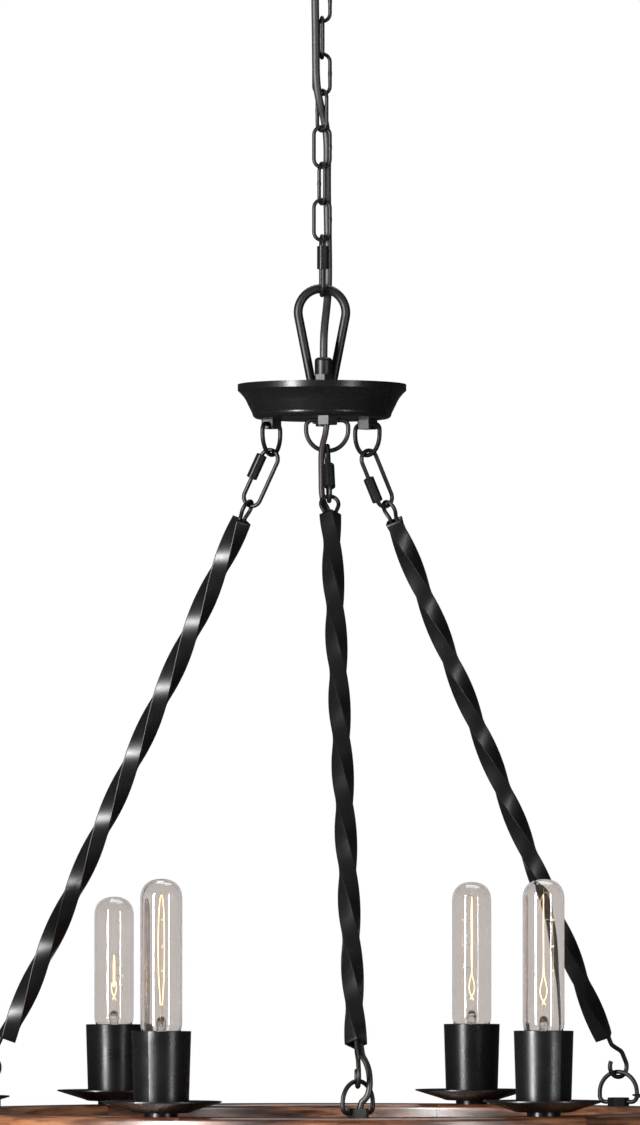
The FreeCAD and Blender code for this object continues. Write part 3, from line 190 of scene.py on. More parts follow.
woodLook = {
    "dark": (0.008, 0.0024, 0.0012), "middle": (0.056, 0.0175, 0.0072), "light": (0.19, 0.078, 0.033),
    "pore": (0.008, 0.0035, 0.002), "linesPerMetre": 240, "linesPerFigure": 7, "poresPerMetre": 850,
    "poreDepth": 0.0002,
}
# degrees; the stretch is how much slower the grain runs along a board, and the shift sets each board apart
felloeGrain = {"firstSeam": 4.5, "step": 60, "stretch": 0.09, "shift": (3.7, 0.31, 0.17)}
spokeGrain = {"firstSeam": 0.0, "step": 30, "stretch": 0.1, "shift": (2.3, 0.37, 0.21)}
naveGrain = {"stretch": 0.12}


def varnishedWood(tree, grainway):
    # grainway runs slowly along the grain and quickly across it
    figure = tree.noise(grainway, woodLook["linesPerMetre"] / woodLook["linesPerFigure"], 6, 0.68)
    lines = tree.noise(grainway, woodLook["linesPerMetre"], 4, 0.6)
    pores = tree.span(tree.noise(grainway, woodLook["poresPerMetre"], 2, 0.5), 0.62, 0.72)
    shade = figure * 0.55 + lines * 0.45
    colour = tree.ramp(shade, [
        (0.39, woodLook["dark"]), (0.49, woodLook["middle"]), (0.6, woodLook["light"])])
    return {
        "Base Color": tree.mix(pores * 0.7, colour, woodLook["pore"]),
        "Roughness": tree.span(lines, 0.3, 0.7, 0.3, 0.42),
        "Normal": tree.bump(lines * 0.5 - pores, 0.35, woodLook["poreDepth"]),
        "Coat Weight": tree.span(figure, 0.3, 0.7, 0.45, 0.75),
        "Coat Roughness": 0.2,
    }


def roundCoords(tree, coords, grain):
    # the angle from the first seam, the board's number, and the radius and height
    turned = tree.node("ShaderNodeVectorRotate", {"rotation_type": "Z_AXIS"}, {
        "Vector": coords, "Angle": math.pi - math.radians(grain["firstSeam"])})
    parts = tree.node("ShaderNodeSeparateXYZ", None, [turned])
    across, height = parts.also("Y"), parts.also("Z")
    angle = across.calc("ARCTAN2", parts) + math.pi
    board = (angle / math.radians(grain["step"])).calc("FLOOR")
    radius = (parts * parts + across * across).calc("SQRT")
    return angle, board, radius, height


def boardWood(tree, board, grain, along, beside, height):
    shift = [board * amount for amount in grain["shift"]]
    grainway = tree.node("ShaderNodeCombineXYZ", None, [
        along * grain["stretch"] + shift[0], beside + shift[1], height + shift[2]])
    return varnishedWood(tree, grainway)


def felloeWood(tree, coords):
    angle, board, radius, height = roundCoords(tree, coords, felloeGrain)
    return boardWood(tree, board, felloeGrain, angle * wheelRadius, radius, height)


def spokeWood(tree, coords):
    angle, board, radius, height = roundCoords(tree, coords, spokeGrain)
    step = math.radians(spokeGrain["step"])
    beside = (angle - board * step - step / 2).calc("SINE") * radius
    return boardWood(tree, board, spokeGrain, radius, beside, height)


def naveWood(tree, coords):
    parts = tree.node("ShaderNodeSeparateXYZ", None, [coords])
    grainway = tree.node("ShaderNodeCombineXYZ", None, [
        parts.also("Z") * naveGrain["stretch"], parts, parts.also("Y")])
    return varnishedWood(tree, grainway)


def cordSheath(tree, coords):
    grain = tree.noise(coords, 900, 3)
    return {
        "Base Color": tree.mix(tree.noise(coords, 40), (0.011, 0.0105, 0.0105), (0.02, 0.0185, 0.0175)),
        "Roughness": tree.span(grain, 0.3, 0.7, 0.42, 0.55),
        "Normal": tree.bump(grain, 0.15, 0.0001),
    }


def agedSheath(tree, coords):
    grain = tree.noise(coords, 700, 3)
    return {
        "Base Color": tree.mix(tree.noise(coords, 60), (0.0095, 0.0075, 0.0065), (0.024, 0.018, 0.0145)),
        "Roughness": tree.span(grain, 0.3, 0.7, 0.36, 0.48),
        "Normal": tree.bump(grain, 0.2, 0.0001),
    }


def lampGlass(tree, coords):
    streak = tree.noise(coords, 28, 2)
    return {
        "Base Color": tree.mix(streak, (0.69, 0.655, 0.635), (0.77, 0.74, 0.72)),
        "Roughness": 0.0, "IOR": 1.46, "Transmission Weight": 1.0,
        "Normal": tree.bump(tree.noise(coords, 60, 1), 0.05, 0.0006),
    }


def clearGlass(tree, coords):
    return {
        "Base Color": tree.mix(tree.noise(coords, 300, 3), (0.86, 0.84, 0.82), (0.96, 0.95, 0.94)),
        "Roughness": 0.02, "IOR": 1.5, "Transmission Weight": 1.0,
        "Normal": tree.bump(tree.noise(coords, 330, 2), 0.9, 0.002),
    }


def glowingWire(tree, coords):
    heat = tree.noise(coords, 70, 2)
    return {
        "Base Color": (1.0, 0.72, 0.4, 1),
        "Emission Color": tree.mix(heat, (1.0, 0.52, 0.17), (1.0, 0.68, 0.32)),
        "Emission Strength": 5.0,
    }


def supportWire(tree, coords):
    return {
        "Base Color": tree.mix(tree.noise(coords, 500), (0.62, 0.47, 0.32), (0.95, 0.8, 0.6)),
        "Metallic": 1.0, "Roughness": 0.38,
    }


# painted light: the glass beads get a faint warm emission, a painted glow standing in for the filament's
# light on them
def litBead(tree, coords):
    return {
        "Base Color": tree.mix(tree.noise(coords, 700), (0.8, 0.7, 0.55), (0.95, 0.88, 0.75)),
        "Roughness": 0.12,
        "Emission Color": (1.0, 0.74, 0.42, 1), "Emission Strength": 0.55,
    }


def darkCeramic(tree, coords):
    grain = tree.noise(coords, 600, 4)
    return {
        "Base Color": tree.mix(grain, (0.012, 0.011, 0.011), (0.024, 0.022, 0.021)),
        "Roughness": tree.span(grain, 0.3, 0.7, 0.5, 0.65),
        "Normal": tree.bump(grain, 0.2, 0.0001),
    }


finish = {
    "sheet": newMaterial("satinPowderCoat", powderCoat(0.27, 0.5, 0.25)),
    "wire": newMaterial("wirePowderCoat", powderCoat(0.4, 0.3, 0.8)),
    "bar": newMaterial("barPowderCoat", powderCoat(0.3, 0.25, 0.6)),
    "plated": newMaterial("platedSteel", platedSteel),
    "brass": newMaterial("brightBrass", brightBrass),
    "felloe": newMaterial("felloeWood", felloeWood),
    "spoke": newMaterial("spokeWood", spokeWood),
    "nave": newMaterial("naveWood", naveWood),
    "cord": newMaterial("cordSheath", cordSheath),
    "aged": newMaterial("agedSheath", agedSheath),
    "glass": newMaterial("lampGlass", lampGlass),
    "stem": newMaterial("stemGlass", clearGlass),
    "glow": newMaterial("glowingWire", glowingWire),
    "support": newMaterial("supportWire", supportWire),
    "bead": newMaterial("litBead", litBead),
    "ceramic": newMaterial("darkCeramic", darkCeramic),
}

cadFinish = {
    "sheet": ["canopy", "canopy_collar", "ceiling_crossbar", "hub_dish", "hub_cover", "pan_washers",
              "drip_pans", "candle_cups", "nave_bands"],
    "wire": ["canopy_loop", "top_quick_link", "top_link_sleeve", "hub_loop", "cord_grip", "hub_fittings",
             "hub_rings", "rim_fittings", "rim_rings", "light_tubes"],
    "plated": ["hub_nuts", "light_nuts"],
    "felloe": ["rim_felloes"], "spoke": ["wheel_spokes"], "nave": ["wheel_nave"],
    "aged": ["rim_wiring"], "ceramic": ["lamp_sockets"],
}
for side in ("front", "right", "left"):
    cadFinish["wire"] += [f"hanger_link_{side}", f"hanger_sleeve_{side}", f"bar_wires_{side}"]
for finishName, names in cadFinish.items():
    for name in names:
        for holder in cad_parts[name].material_slots:
            holder.material = finish[finishName]
print("finishes made:", len(finish))


def newTree(name, inputs):
    group = bpy.data.node_groups.new(name, "GeometryNodeTree")
    group.interface.new_socket("Geometry", in_out="INPUT", socket_type="NodeSocketGeometry")
    for label, kind in inputs.items():
        group.interface.new_socket(label, in_out="INPUT", socket_type=f"NodeSocket{kind}")
    group.interface.new_socket("Geometry", in_out="OUTPUT", socket_type="NodeSocketGeometry")
    tree = Tree(group)
    return group, tree, tree.node("NodeGroupInput")


def finishTree(tree, start, shape):
    smooth = tree.node("GeometryNodeSetShadeSmooth", None, [shape])
    real = tree.node("GeometryNodeRealizeInstances", None, [smooth])
    dressed = tree.node("GeometryNodeSetMaterial", None, {
        "Geometry": real, "Material": start.also("Material")})
    tree.tree.links.new(dressed.socket, tree.tree.nodes.new("NodeGroupOutput").inputs[0])


def grown(name, source, group, values, place=None, finishing=None):
    # runs the tree on the source and keeps the result as a plain mesh
    holder = placed(name + "Source", source)
    modifier = holder.modifiers.new("tree", "NODES")
    modifier.node_group = group
    sockets = {item.name: item.identifier for item in group.interface.items_tree if item.in_out == "INPUT"}
    for label, value in values.items():
        modifier[sockets[label]] = value
    if finishing:
        finishing(holder)
    holder.update_tag()
    finished = holder.evaluated_get(bpy.context.evaluated_depsgraph_get())
    mesh = bpy.data.meshes.new_from_object(finished)
    bpy.data.objects.remove(holder)
    if place:
        mesh.transform(place)
    mesh.name = name
    return placed(name, mesh)


def plainMesh(name, points=(), faces=()):
    mesh = bpy.data.meshes.new(name)
    mesh.from_pydata(points, [], faces)
    return mesh


def pathCurve(name, paths):
    # paths in metres, each one a smooth line with its points as control points
    curve = bpy.data.curves.new(name, "CURVE")
    curve.dimensions = "3D"
    for points in paths:
        spline = curve.splines.new("NURBS")
        spline.points.add(len(points) - 1)
        for knot, point in zip(spline.points, points):
            knot.co = (*point, 1)
        spline.order_u = 3
        spline.use_endpoint_u = True
        spline.resolution_u = 10
    return curve


def inMetres(points):
    return [Vector(point) * mm for point in points]


def settle(piece, body, slot, *replaced):
    if replaced:
        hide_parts(*replaced)
    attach(piece, body)


def roundWireTree():
    group, tree, start = newTree("roundWire", {"Radius": "Float", "Sides": "Int", "Material": "Material"})
    section = tree.node("GeometryNodeCurvePrimitiveCircle", None, {
        "Resolution": start.also("Sides"), "Radius": start.also("Radius")})
    tube = tree.node("GeometryNodeCurveToMesh", None, {
        "Curve": start, "Profile Curve": section, "Fill Caps": True})
    finishTree(tree, start, tube)
    return group


roundWire = roundWireTree()

# the photograph's frame in its own pixels, with the rows from its top edge up to the ceiling
photo = {"width": 640, "height": 1125, "axisAcross": 322, "perMm": 1.27, "rowsAbove": 130,
         "distance": 7.5, "azimuth": -5.3, "horizon": 926, "sensor": 36, "farthest": 60}


def cameraHeight(row):
    return -(row + photo["rowsAbove"]) / photo["perMm"] * mm


def makeCamera():
    lens = bpy.data.cameras.new("photoCamera")
    eye = placed("photoCamera", lens)
    turn = math.radians(photo["azimuth"])
    across = (photo["width"] / 2 - photo["axisAcross"]) / photo["perMm"] * mm
    side = Vector((math.cos(turn), math.sin(turn), 0))
    aim = side * across + Vector((0, 0, cameraHeight(photo["height"] / 2)))
    spot = Vector((math.sin(turn), -math.cos(turn), 0)) * photo["distance"] + side * across
    spot.z = cameraHeight(photo["horizon"])
    eye.location = spot
    eye.rotation_euler = (aim - spot).to_track_quat("-Z", "Y").to_euler()
    lens.sensor_width = photo["sensor"]
    lens.lens = photo["perMm"] * photo["distance"] / mm * lens.sensor_width / photo["height"]
    lens.clip_end = photo["farthest"]
    bpy.context.scene.camera = eye


makeCamera()
print("camera set")


# both cords follow the routes of the part, in millimetres
supplyCord = {
    "diameter": 6.2, "sides": 20,
    "points": [
        (0, 0, -1), (0, 0, -44.0), (-5.6, -6.2, -56.85), (-6.2, -6.6, -94.85), (-5.5, -6.5, -134.85),
        (-5.3, -7.0, -174.25), (5.3, 7.1, -202.25), (4.4, 5.7, -246.25), (5.4, 6.3, -288.25),
        (5.8, 7.4, -320.0), (5.0, 7.3, -339.0), (1.2, -8.0, -359.25), (0, -13, -374.25), (0, -13, -412.45),
    ],
    # a length's upper and lower body, and the levels where its bend starts and ends
    "lengths": [
        ("supplyCordTop", "ceiling", "first_link", -46, -74),
        ("supplyCordMiddle", "first_link", "chain", -78, -106),
        ("supplyCordFoot", "chain", "hub", -322, -380),
    ],
    "cuts": {"supplyCordTop": (10, -76), "supplyCordMiddle": (-76, -200), "supplyCordFoot": (-200, -500)},
}
wheelCord = {
    "diameter": 4.8, "sides": 16,
    "top": [(-20, -35, -412.85), (0, -44, -411.85), (0, -44, -441.85)],
    # beside the front bar, each point is its distance along the bar, then outward, then sideways
    "besideBar": [(1, 5.0, -5.2), (20, 0.6, -5.4), (41, -4.9, -5.6), (52, -3.4, -1.0), (63.15, 0, 0),
                  (521.15, 0, 1.0)],
    "end": [(8.5, -287, -936.62), (9.5, -293, -951.62), (7, -294, -961.62), (0, -292, -966.22),
            (0, -292, -1017.22)],
}
hanger = {
    "lean": 26.8231, "foot": -459.45, "ringCircle": 44,
    "angles": {"front": -90, "right": 30, "left": 150},
}


def hangerPlace(side):
    lean = Matrix.Rotation(-math.radians(hanger["lean"]), 4, "Y")
    foot = Matrix.Translation((hanger["ringCircle"] * mm, 0, hanger["foot"] * mm))
    return Matrix.Rotation(math.radians(hanger["angles"][side]), 4, "Z") @ foot @ lean


def wheelRoute():
    front = hangerPlace("front")
    beside = inMetres([(out, across, -along) for along, out, across in wheelCord["besideBar"]])
    return [*inMetres(wheelCord["top"]), *(front @ point for point in beside), *inMetres(wheelCord["end"])]


def lengthOf(piece, name, high, low):
    # the part of an upright tube between two heights, as a piece of its own
    shape = bmesh.new()
    shape.from_mesh(piece.data)
    for level, side in ((high, "clear_outer"), (low, "clear_inner")):
        bmesh.ops.bisect_plane(shape, geom=[*shape.verts, *shape.edges, *shape.faces],
                               plane_co=(0, 0, level), plane_no=(0, 0, 1), **{side: True})
    mesh = bpy.data.meshes.new(name)
    shape.to_mesh(mesh)
    shape.free()
    mesh.materials.append(piece.data.materials[0])
    return placed(name, mesh)


def sheath(name, cord, route, material):
    return grown(name, pathCurve(name + "Route", [route]), roundWire, {
        "Radius": cord["diameter"] / 2 * mm, "Sides": cord["sides"], "Material": material})


def makeCords():
    supply = sheath("supplyCordSheath", supplyCord, inMetres(supplyCord["points"]), finish["cord"])
    for name, above, below, start, end in supplyCord["lengths"]:
        high, low = (level * mm for level in supplyCord["cuts"][name])
        part = lengthOf(supply, name, high, low)
        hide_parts("supply_cord")
        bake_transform(part)
    bpy.data.objects.remove(supply)
    wheel = sheath("wheelCordSheath", wheelCord, wheelRoute(), finish["aged"])
    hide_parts("wheel_cord")
    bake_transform(wheel)


makeCords()
print("cords made")


# millimetres; the top is the first link's centre, and the turns are the degrees each link faces
chain = {
    "wire": 3.0, "length": 35, "width": 15.7, "top": -72.85, "step": 28.85,
    "turns": [90, 0, 90, 0, 120, 0, 105, 0], "weld": 0.16, "weldLength": 2.4,
    "cornerSteps": 14, "ringSteps": 84, "wireSides": 14,
}


def linkTree():
    group, tree, start = newTree("chainLink", {
        "Wire": "Float", "Length": "Float", "Width": "Float", "Weld": "Float", "WeldLength": "Float",
        "Material": "Material"})
    wire, length, width = start.also("Wire"), start.also("Length"), start.also("Width")
    slot = tree.node("GeometryNodeCurvePrimitiveQuadrilateral", None, [width - wire, length - wire])
    # corners of just under half the width make each end round
    oval = tree.node("GeometryNodeFilletCurve", {"mode": "POLY"}, {
        "Curve": slot, "Count": chain["cornerSteps"], "Radius": (width - wire) * 0.4999})
    ring = tree.node("GeometryNodeResampleCurve", None, {"Curve": oval, "Count": chain["ringSteps"]})
    where = tree.node("ShaderNodeSeparateXYZ", None, [tree.node("GeometryNodeInputPosition")])
    nearWeld = tree.span(where.also("Y").calc("ABSOLUTE"), 0.0, start.also("WeldLength"), 1, 0)
    swelling = nearWeld * where.calc("GREATER_THAN", 0.0) * start.also("Weld") + 1
    section = tree.node("GeometryNodeCurvePrimitiveCircle", None, {
        "Resolution": chain["wireSides"], "Radius": wire * 0.5})
    link = tree.node("GeometryNodeCurveToMesh", None, {
        "Curve": ring, "Profile Curve": section, "Scale": swelling})
    upright = tree.node("GeometryNodeTransform", None, {
        "Geometry": link, "Rotation": (math.pi / 2, 0, 0)})
    turn = tree.node("GeometryNodeInputNamedAttribute", {"data_type": "FLOAT"}, {"Name": "turn"})
    facing = tree.node("ShaderNodeCombineXYZ", None, [0.0, 0.0, turn])
    hung = tree.node("GeometryNodeInstanceOnPoints", None, {
        "Points": start, "Instance": upright, "Rotation": facing})
    finishTree(tree, start, hung)
    return group


def linkPoints(name, first, last):
    numbers = range(first, last)
    mesh = plainMesh(name, [(0, 0, (chain["top"] - chain["step"] * n) * mm) for n in numbers])
    turn = mesh.attributes.new("turn", "FLOAT", "POINT")
    for place, n in enumerate(numbers):
        turn.data[place].value = math.radians(chain["turns"][n])
    return mesh


def makeChain():
    tree = linkTree()
    sizes = {"Wire": chain["wire"] * mm, "Length": chain["length"] * mm, "Width": chain["width"] * mm,
             "Weld": chain["weld"], "WeldLength": chain["weldLength"] * mm, "Material": finish["wire"]}
    first = grown("firstLink", linkPoints("firstPoint", 0, 1), tree, sizes)
    settle(first, "first_link", "black_metal", "first_chain_link")
    others = grown("hangingLinks", linkPoints("otherPoints", 1, len(chain["turns"])), tree, sizes)
    settle(others, "chain", "black_metal", "chain_links")


makeChain()
print("chain made")


bar = {
    "side": 12.7, "corner": 0.9, "length": 460, "start": 57.15, "quarterTurns": 8, "wall": 1.0,
    "rings": 220, "cornerSteps": 4,
}


def twistedBarTree():
    group, tree, start = newTree("twistedBar", {
        "Side": "Float", "Corner": "Float", "Length": "Float", "Turn": "Float", "Rings": "Int",
        "Material": "Material"})
    length, side = start.also("Length"), start.also("Side")
    top = tree.node("ShaderNodeCombineXYZ", None, [0.0, 0.0, length])
    line = tree.node("GeometryNodeCurvePrimitiveLine", None, {"End": top})
    rings = tree.node("GeometryNodeResampleCurve", None, {"Curve": line, "Count": start.also("Rings")})
    square = tree.node("GeometryNodeCurvePrimitiveQuadrilateral", None, [side, side])
    section = tree.node("GeometryNodeFilletCurve", {"mode": "POLY"}, {
        "Curve": square, "Count": bar["cornerSteps"], "Radius": start.also("Corner")})
    straight = tree.node("GeometryNodeCurveToMesh", None, {"Curve": rings, "Profile Curve": section})
    where = tree.node("GeometryNodeInputPosition")
    height = tree.node("ShaderNodeSeparateXYZ", None, [where]).also("Z")
    angle = height / length * start.also("Turn") + math.pi / 4
    turned = tree.node("ShaderNodeVectorRotate", {"rotation_type": "Z_AXIS"}, {
        "Vector": where, "Angle": angle})
    twisted = tree.node("GeometryNodeSetPosition", None, {"Geometry": straight, "Position": turned})
    finishTree(tree, start, twisted)
    return group


def thicken(holder):
    wall = holder.modifiers.new("wall", "SOLIDIFY")
    wall.thickness = bar["wall"] * mm
    wall.offset = -1
    wall.use_even_offset = True


def makeBars():
    tree = twistedBarTree()
    foot = Matrix.Translation((0, 0, -(bar["start"] + bar["length"]) * mm))
    sizes = {"Side": bar["side"] * mm, "Corner": bar["corner"] * mm, "Length": bar["length"] * mm,
             "Turn": -bar["quarterTurns"] * math.pi / 2, "Rings": bar["rings"], "Material": finish["bar"]}
    for side in hanger["angles"]:
        start = plainMesh("barStart", [(0, 0, 0)])
        piece = grown(f"twistedBar.{side}", start, tree, sizes, hangerPlace(side) @ foot, thicken)
        settle(piece, f"hanger_{side}", "black_metal", f"hanger_bar_{side}")


makeBars()
print("bars made")


# millimetres from a bulb's foot, and the profiles are (radius, height)
bulb = {
    "radius": 15.9, "neck": 12.4, "wall": 0.8, "neckTop": 37, "shoulder": 54, "foot": 18,
    "squareness": 2.35, "segments": 72, "neckSteps": 8, "sideSteps": 12, "tipSteps": 18,
    "lengths": [163, 163, 151, 163, 163, 163], "turns": [40, 195, 20, 250, 78, 4],
    "stem": [(0, 20), (10.6, 20), (10.8, 20.6), (8.4, 22.5), (5.6, 26), (4.0, 32), (3.4, 40), (3.2, 47),
             (3.6, 50), (4.1, 52.5), (3.6, 55.5), (2.6, 57.5), (1.2, 58.6), (0, 58.8)],
    "stemSegments": 32,
}
screwCap = {
    "radius": 12.5, "segments": 56, "threadTurns": 4.6, "threadPitch": 3.6, "threadRadius": 0.75,
    "threadFoot": 7.6, "threadSink": 0.25, "threadSides": 10,
    "contact": [(0, 0), (3.6, 0), (4.4, 0.5), (4.8, 1.4), (6.0, 2.2), (10.2, 5.2), (11.6, 6.2)],
    # from here on the radii are counted from the cap's own
    "shell": [(-0.3, 7.4), (-0.2, 9), (-0.2, 24.4), (0.3, 25.2), (0.3, 25.8), (0, 26), (-0.4, 26),
              (-0.6, 24)],
}
# a hairpin that stands in the YZ plane, with an eye across it at the foot
filament = {
    "wire": 0.27, "support": 0.26, "bead": 0.9, "sides": 8, "foot": 68, "rod": 7.4,
    "tops": [152, 152, 104, 152, 152, 152], "hooks": (0.3, 0.52, 0.76),
    "rise": [(1.6, -0.4, 67), (0.2, -0.9, 69), (-2.0, -1.4, 72), (-3.3, -1.7, 77), (-2.6, -2.0, 82)],
    # the heights here are shares of the way from the foot to the top
    "climb": [
        (-0.9, -2.2, 0.24), (-0.5, -2.4, 0.4), (-0.7, -2.4, 0.62), (-0.3, -2.1, 0.82), (-0.4, -1.2, 0.95),
        (-0.1, 0, 1), (0.3, 1.2, 0.94), (0.2, 2.1, 0.8), (0.5, 2.5, 0.6), (0.4, 2.4, 0.38), (0.9, 2.2, 0.25),
    ],
    "fall": [(2.3, 2.0, 83), (3.1, 1.7, 78), (2.2, 1.4, 73), (0.2, 0.9, 69.5), (-1.4, 0.5, 67)],
    "leads": [[(-2.4, 0.4, 54), (-2.2, 0.4, 62), (-1.2, 0.4, 68)],
              [(2.6, -0.4, 54), (2.4, -0.4, 62), (1.4, -0.4, 68)]],
}


def lathe(name, profile, material, place, segments=64, closed=True):
    # turns a run of (radius, height) points about Z
    points, rings = [], []
    for radius, height in profile:
        if radius < 1e-6:
            rings.append([len(points)])
            points.append((0, 0, height * mm))
            continue
        rings.append(list(range(len(points), len(points) + segments)))
        for step in range(segments):
            angle = 2 * math.pi * step / segments
            points.append((radius * mm * math.cos(angle), radius * mm * math.sin(angle), height * mm))
    faces = []
    pairs = list(zip(rings, rings[1:])) + ([(rings[-1], rings[0])] if closed else [])
    for low, high in pairs:
        if len(low) == 1 and len(high) == 1:
            continue
        for step in range(segments):
            after = (step + 1) % segments
            if len(low) == 1:
                faces.append((low[0], high[after], high[step]))
            elif len(high) == 1:
                faces.append((low[step], low[after], high[0]))
            else:
                faces.append((low[step], low[after], high[after], high[step]))
    mesh = plainMesh(name, points, faces)
    mesh.transform(place)
    mesh.shade_smooth()
    mesh.materials.append(material)
    return placed(name, mesh)


def glassWall(length, inset):
    # from the neck up to the tip, drawn in by the inset
    neck, radius = bulb["neck"] - inset, bulb["radius"] - inset
    neckTop, shoulder = bulb["neckTop"], bulb["shoulder"]
    run = [(neck, bulb["foot"]), (neck, neckTop)]
    for step in range(1, bulb["neckSteps"] + 1):
        share = step / bulb["neckSteps"]
        ease = share * share * (3 - 2 * share)
        run.append((neck + (radius - neck) * ease, neckTop + (shoulder - neckTop) * share))
    spring = length - bulb["radius"]
    for step in range(1, bulb["sideSteps"] + 1):
        run.append((radius, shoulder + (spring - shoulder) * step / bulb["sideSteps"]))
    power = 2 / bulb["squareness"]
    rise = length - inset - spring
    for step in range(1, bulb["tipSteps"]):
        angle = math.pi / 2 * step / bulb["tipSteps"]
        run.append((radius * math.cos(angle) ** power, spring + rise * math.sin(angle) ** power))
    run.append((0, length - inset))
    return run


def filamentPaths(top):
    foot, rod = filament["foot"], filament["rod"]
    hooks = [foot + (top - foot) * share for share in filament["hooks"]]
    spire = [(across, deep, foot + (top - foot) * share) for across, deep, share in filament["climb"]]
    arch = [(rod, 0.3, 58), (rod + 0.4, 0.3, 80), (rod, 0.3, top - 30), (rod - 1.2, 0.2, top - 12),
            (4.6, 0.1, top - 1), (1.6, 0, top + 1.4), (-1.4, 0, top - 1.6), (-4.2, 0, top - 13)]
    ties = [[(rod - 0.2, 0.3, level), (5.0, 0.6, level + 0.4), (0.4, 2.4, level), (-0.6, -2.4, level + 0.3)]
            for level in hooks]
    beads = [[(rod - 0.9, 0.3, level), (rod, 0.3, level + 0.1), (rod + 0.7, 0.3, level)] for level in hooks]
    return [[*filament["rise"], *spire, *filament["fall"]]], [*filament["leads"], arch, *ties], beads


def threadTree():
    group, tree, start = newTree("screwThread", {
        "Turns": "Float", "Radius": "Float", "Height": "Float", "Bead": "Float", "Sides": "Int",
        "Material": "Material"})
    radius = start.also("Radius")
    spiral = tree.node("GeometryNodeCurveSpiral", None, {
        "Resolution": 40, "Rotations": start.also("Turns"), "Start Radius": radius, "End Radius": radius,
        "Height": start.also("Height")})
    section = tree.node("GeometryNodeCurvePrimitiveCircle", None, {
        "Resolution": start.also("Sides"), "Radius": start.also("Bead")})
    thread = tree.node("GeometryNodeCurveToMesh", None, {
        "Curve": spiral, "Profile Curve": section, "Fill Caps": True})
    finishTree(tree, start, thread)
    return group


screwThread = threadTree()


def glassBody(number, length, place):
    outside, inside = glassWall(length, 0), glassWall(length, bulb["wall"])
    glass = lathe(f"bulbGlass.{number}", outside + inside[::-1], finish["glass"], place, bulb["segments"])
    settle(glass, f"bulb_{number}", "bulb_glass", f"bulb_glass_{number}")


def insideBulb(number, place):
    body = f"bulb_{number}"
    stem = lathe(f"bulbStem.{number}", bulb["stem"], finish["stem"], place, bulb["stemSegments"], False)
    settle(stem, body, "filament")
    glow, supports, beads = filamentPaths(filament["tops"][number - 1])
    for name, paths, radius, material, replaced in (
        ("bulbFilament", glow, filament["wire"], finish["glow"], [f"bulb_filament_{number}"]),
        ("bulbSupports", supports, filament["support"], finish["support"], []),
        ("bulbBeads", beads, filament["bead"], finish["bead"], []),
    ):
        curve = pathCurve(name + "Path", [inMetres(path) for path in paths])
        sizes = {"Radius": radius * mm, "Sides": filament["sides"], "Material": material}
        settle(grown(f"{name}.{number}", curve, roundWire, sizes, place), body, "filament", *replaced)


def bulbCap(number, place):
    radius, turns = screwCap["radius"], screwCap["threadTurns"]
    shell = [(radius + offset, height) for offset, height in screwCap["shell"]]
    profile = [*screwCap["contact"], *shell, (0, shell[-1][1])]
    cap = lathe(f"bulbCap.{number}", profile, finish["brass"], place, screwCap["segments"], False)
    settle(cap, f"bulb_{number}", "bulb_cap", f"bulb_cap_{number}")
    lifted = place @ Matrix.Translation((0, 0, screwCap["threadFoot"] * mm))
    thread = grown(f"capThread.{number}", plainMesh("threadStart", [(0, 0, 0)]), screwThread, {
        "Turns": turns, "Radius": (radius - screwCap["threadSink"]) * mm,
        "Height": turns * screwCap["threadPitch"] * mm, "Bead": screwCap["threadRadius"] * mm,
        "Sides": screwCap["threadSides"], "Material": finish["brass"]}, lifted)
    settle(thread, f"bulb_{number}", "bulb_cap")


def makeBulbs():
    for place, length in enumerate(bulb["lengths"]):
        number = place + 1
        low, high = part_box(f"bulb_cap_{number}")
        angle = 2 * math.pi * place / len(bulb["lengths"])
        spot = (wheelRadius * math.cos(angle), wheelRadius * math.sin(angle), low.z)
        foot = Matrix.Translation(spot)
        turned = Matrix.Rotation(math.radians(bulb["turns"][place]), 4, "Z")
        glassBody(number, length, foot)
        insideBulb(number, foot @ turned)
        bulbCap(number, foot)


makeBulbs()
print("bulbs made")


# metres and watts; the shine is what mirrors see of the white around the object
studio = {
    "floorLevel": -1.6, "floorSize": 5.0, "floorColour": (0.82, 0.82, 0.81, 1), "floorWhite": 0.55,
    "aim": (0, 0, -0.8),
    "keyLeft": {"at": (-2.25, -2.1, -0.55), "size": (0.44, 2.2), "power": 265},
    "keyRight": {"at": (1.75, -2.6, -0.6), "size": (0.3, 2.0), "power": 42},
    "above": {"at": (0.3, 0.6, 1.6), "size": (2.2, 1.6), "power": 40},
    "world": 0.3, "shine": 0.04, "floorShine": 0.06,
}


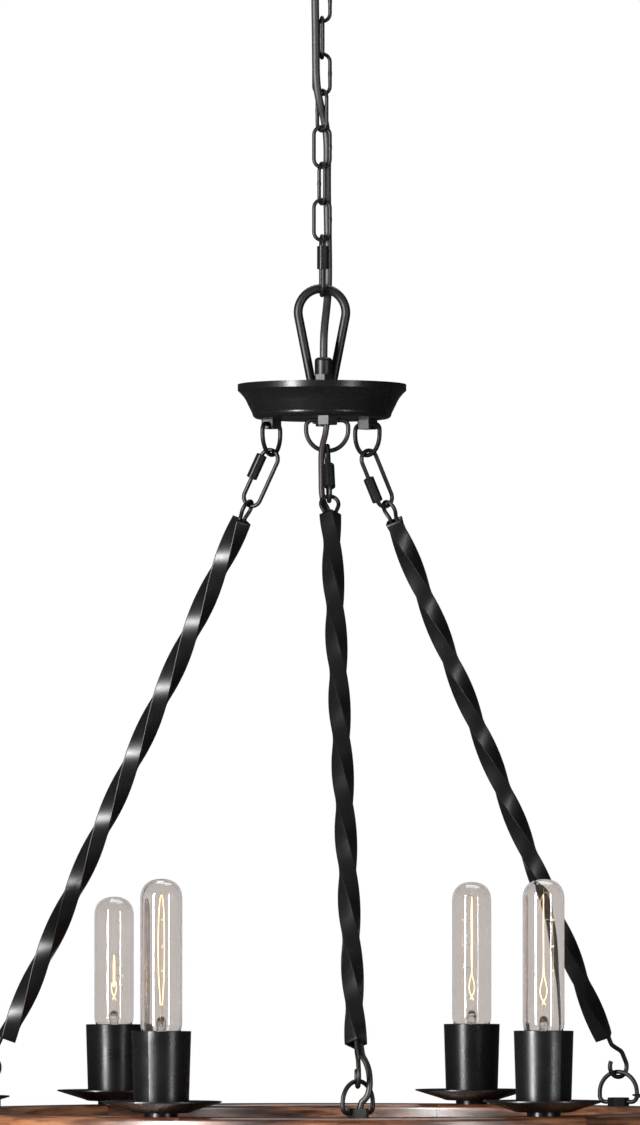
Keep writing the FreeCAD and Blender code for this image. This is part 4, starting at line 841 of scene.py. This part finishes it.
def softBox(name, light):
    data = bpy.data.lights.new(name, "AREA")
    data.shape = "RECTANGLE"
    data.size, data.size_y = light["size"]
    data.energy = light["power"]
    lamp = placed(name, data)
    lamp.location = light["at"]
    lamp.rotation_euler = (Vector(studio["aim"]) - lamp.location).to_track_quat("-Z", "Y").to_euler()


def makeWorld():
    world = bpy.data.worlds.new("studioWorld")
    bpy.context.scene.world = world
    tree = emptyTree(world)
    ray = tree.node("ShaderNodeLightPath", None, None, "Is Camera Ray")
    glossy = ray.also("Is Glossy Ray")
    seen = ray.calc("MAXIMUM", ray.also("Is Transmission Ray"))
    around = (1 - seen) * (1 - glossy) * studio["world"]
    strength = seen.calc("MAXIMUM", glossy * studio["shine"]) + around
    light = tree.node("ShaderNodeBackground", None, {"Color": (1, 1, 1, 1), "Strength": strength})
    tree.node("ShaderNodeOutputWorld", None, {"Surface": light})


def paleFloor():
    pale = bpy.data.materials.new("paleFloor")
    tree = emptyTree(pale)
    ray = tree.node("ShaderNodeLightPath", None, None, "Is Camera Ray")
    matt = tree.node("ShaderNodeBsdfDiffuse", None, {"Color": studio["floorColour"]})
    white = tree.node("ShaderNodeEmission", None, {"Color": (1, 1, 1, 1), "Strength": 1.0})
    black = tree.node("ShaderNodeBsdfDiffuse", None, {"Color": (0, 0, 0, 1)})
    shown = tree.node("ShaderNodeMixShader", None, [ray * studio["floorWhite"], matt, white])
    mirrored = ray.also("Is Glossy Ray") * (1 - studio["floorShine"])
    dimmed = tree.node("ShaderNodeMixShader", None, [mirrored, shown, black])
    tree.node("ShaderNodeOutputMaterial", None, {"Surface": dimmed})
    return pale


def makeStudio():
    for name in ("keyLeft", "keyRight", "above"):
        softBox(name, studio[name])
    makeWorld()
    half, level = studio["floorSize"] / 2, studio["floorLevel"]
    corners = [(-half, -half, level), (half, -half, level), (half, half, level), (-half, half, level)]
    mesh = plainMesh("studioFloor", corners, [(0, 1, 2, 3)])
    mesh.materials.append(paleFloor())
    floor = placed("studioFloor", mesh)
    bpy.context.scene.view_settings.view_transform = "Standard"


makeStudio()
print("studio made")
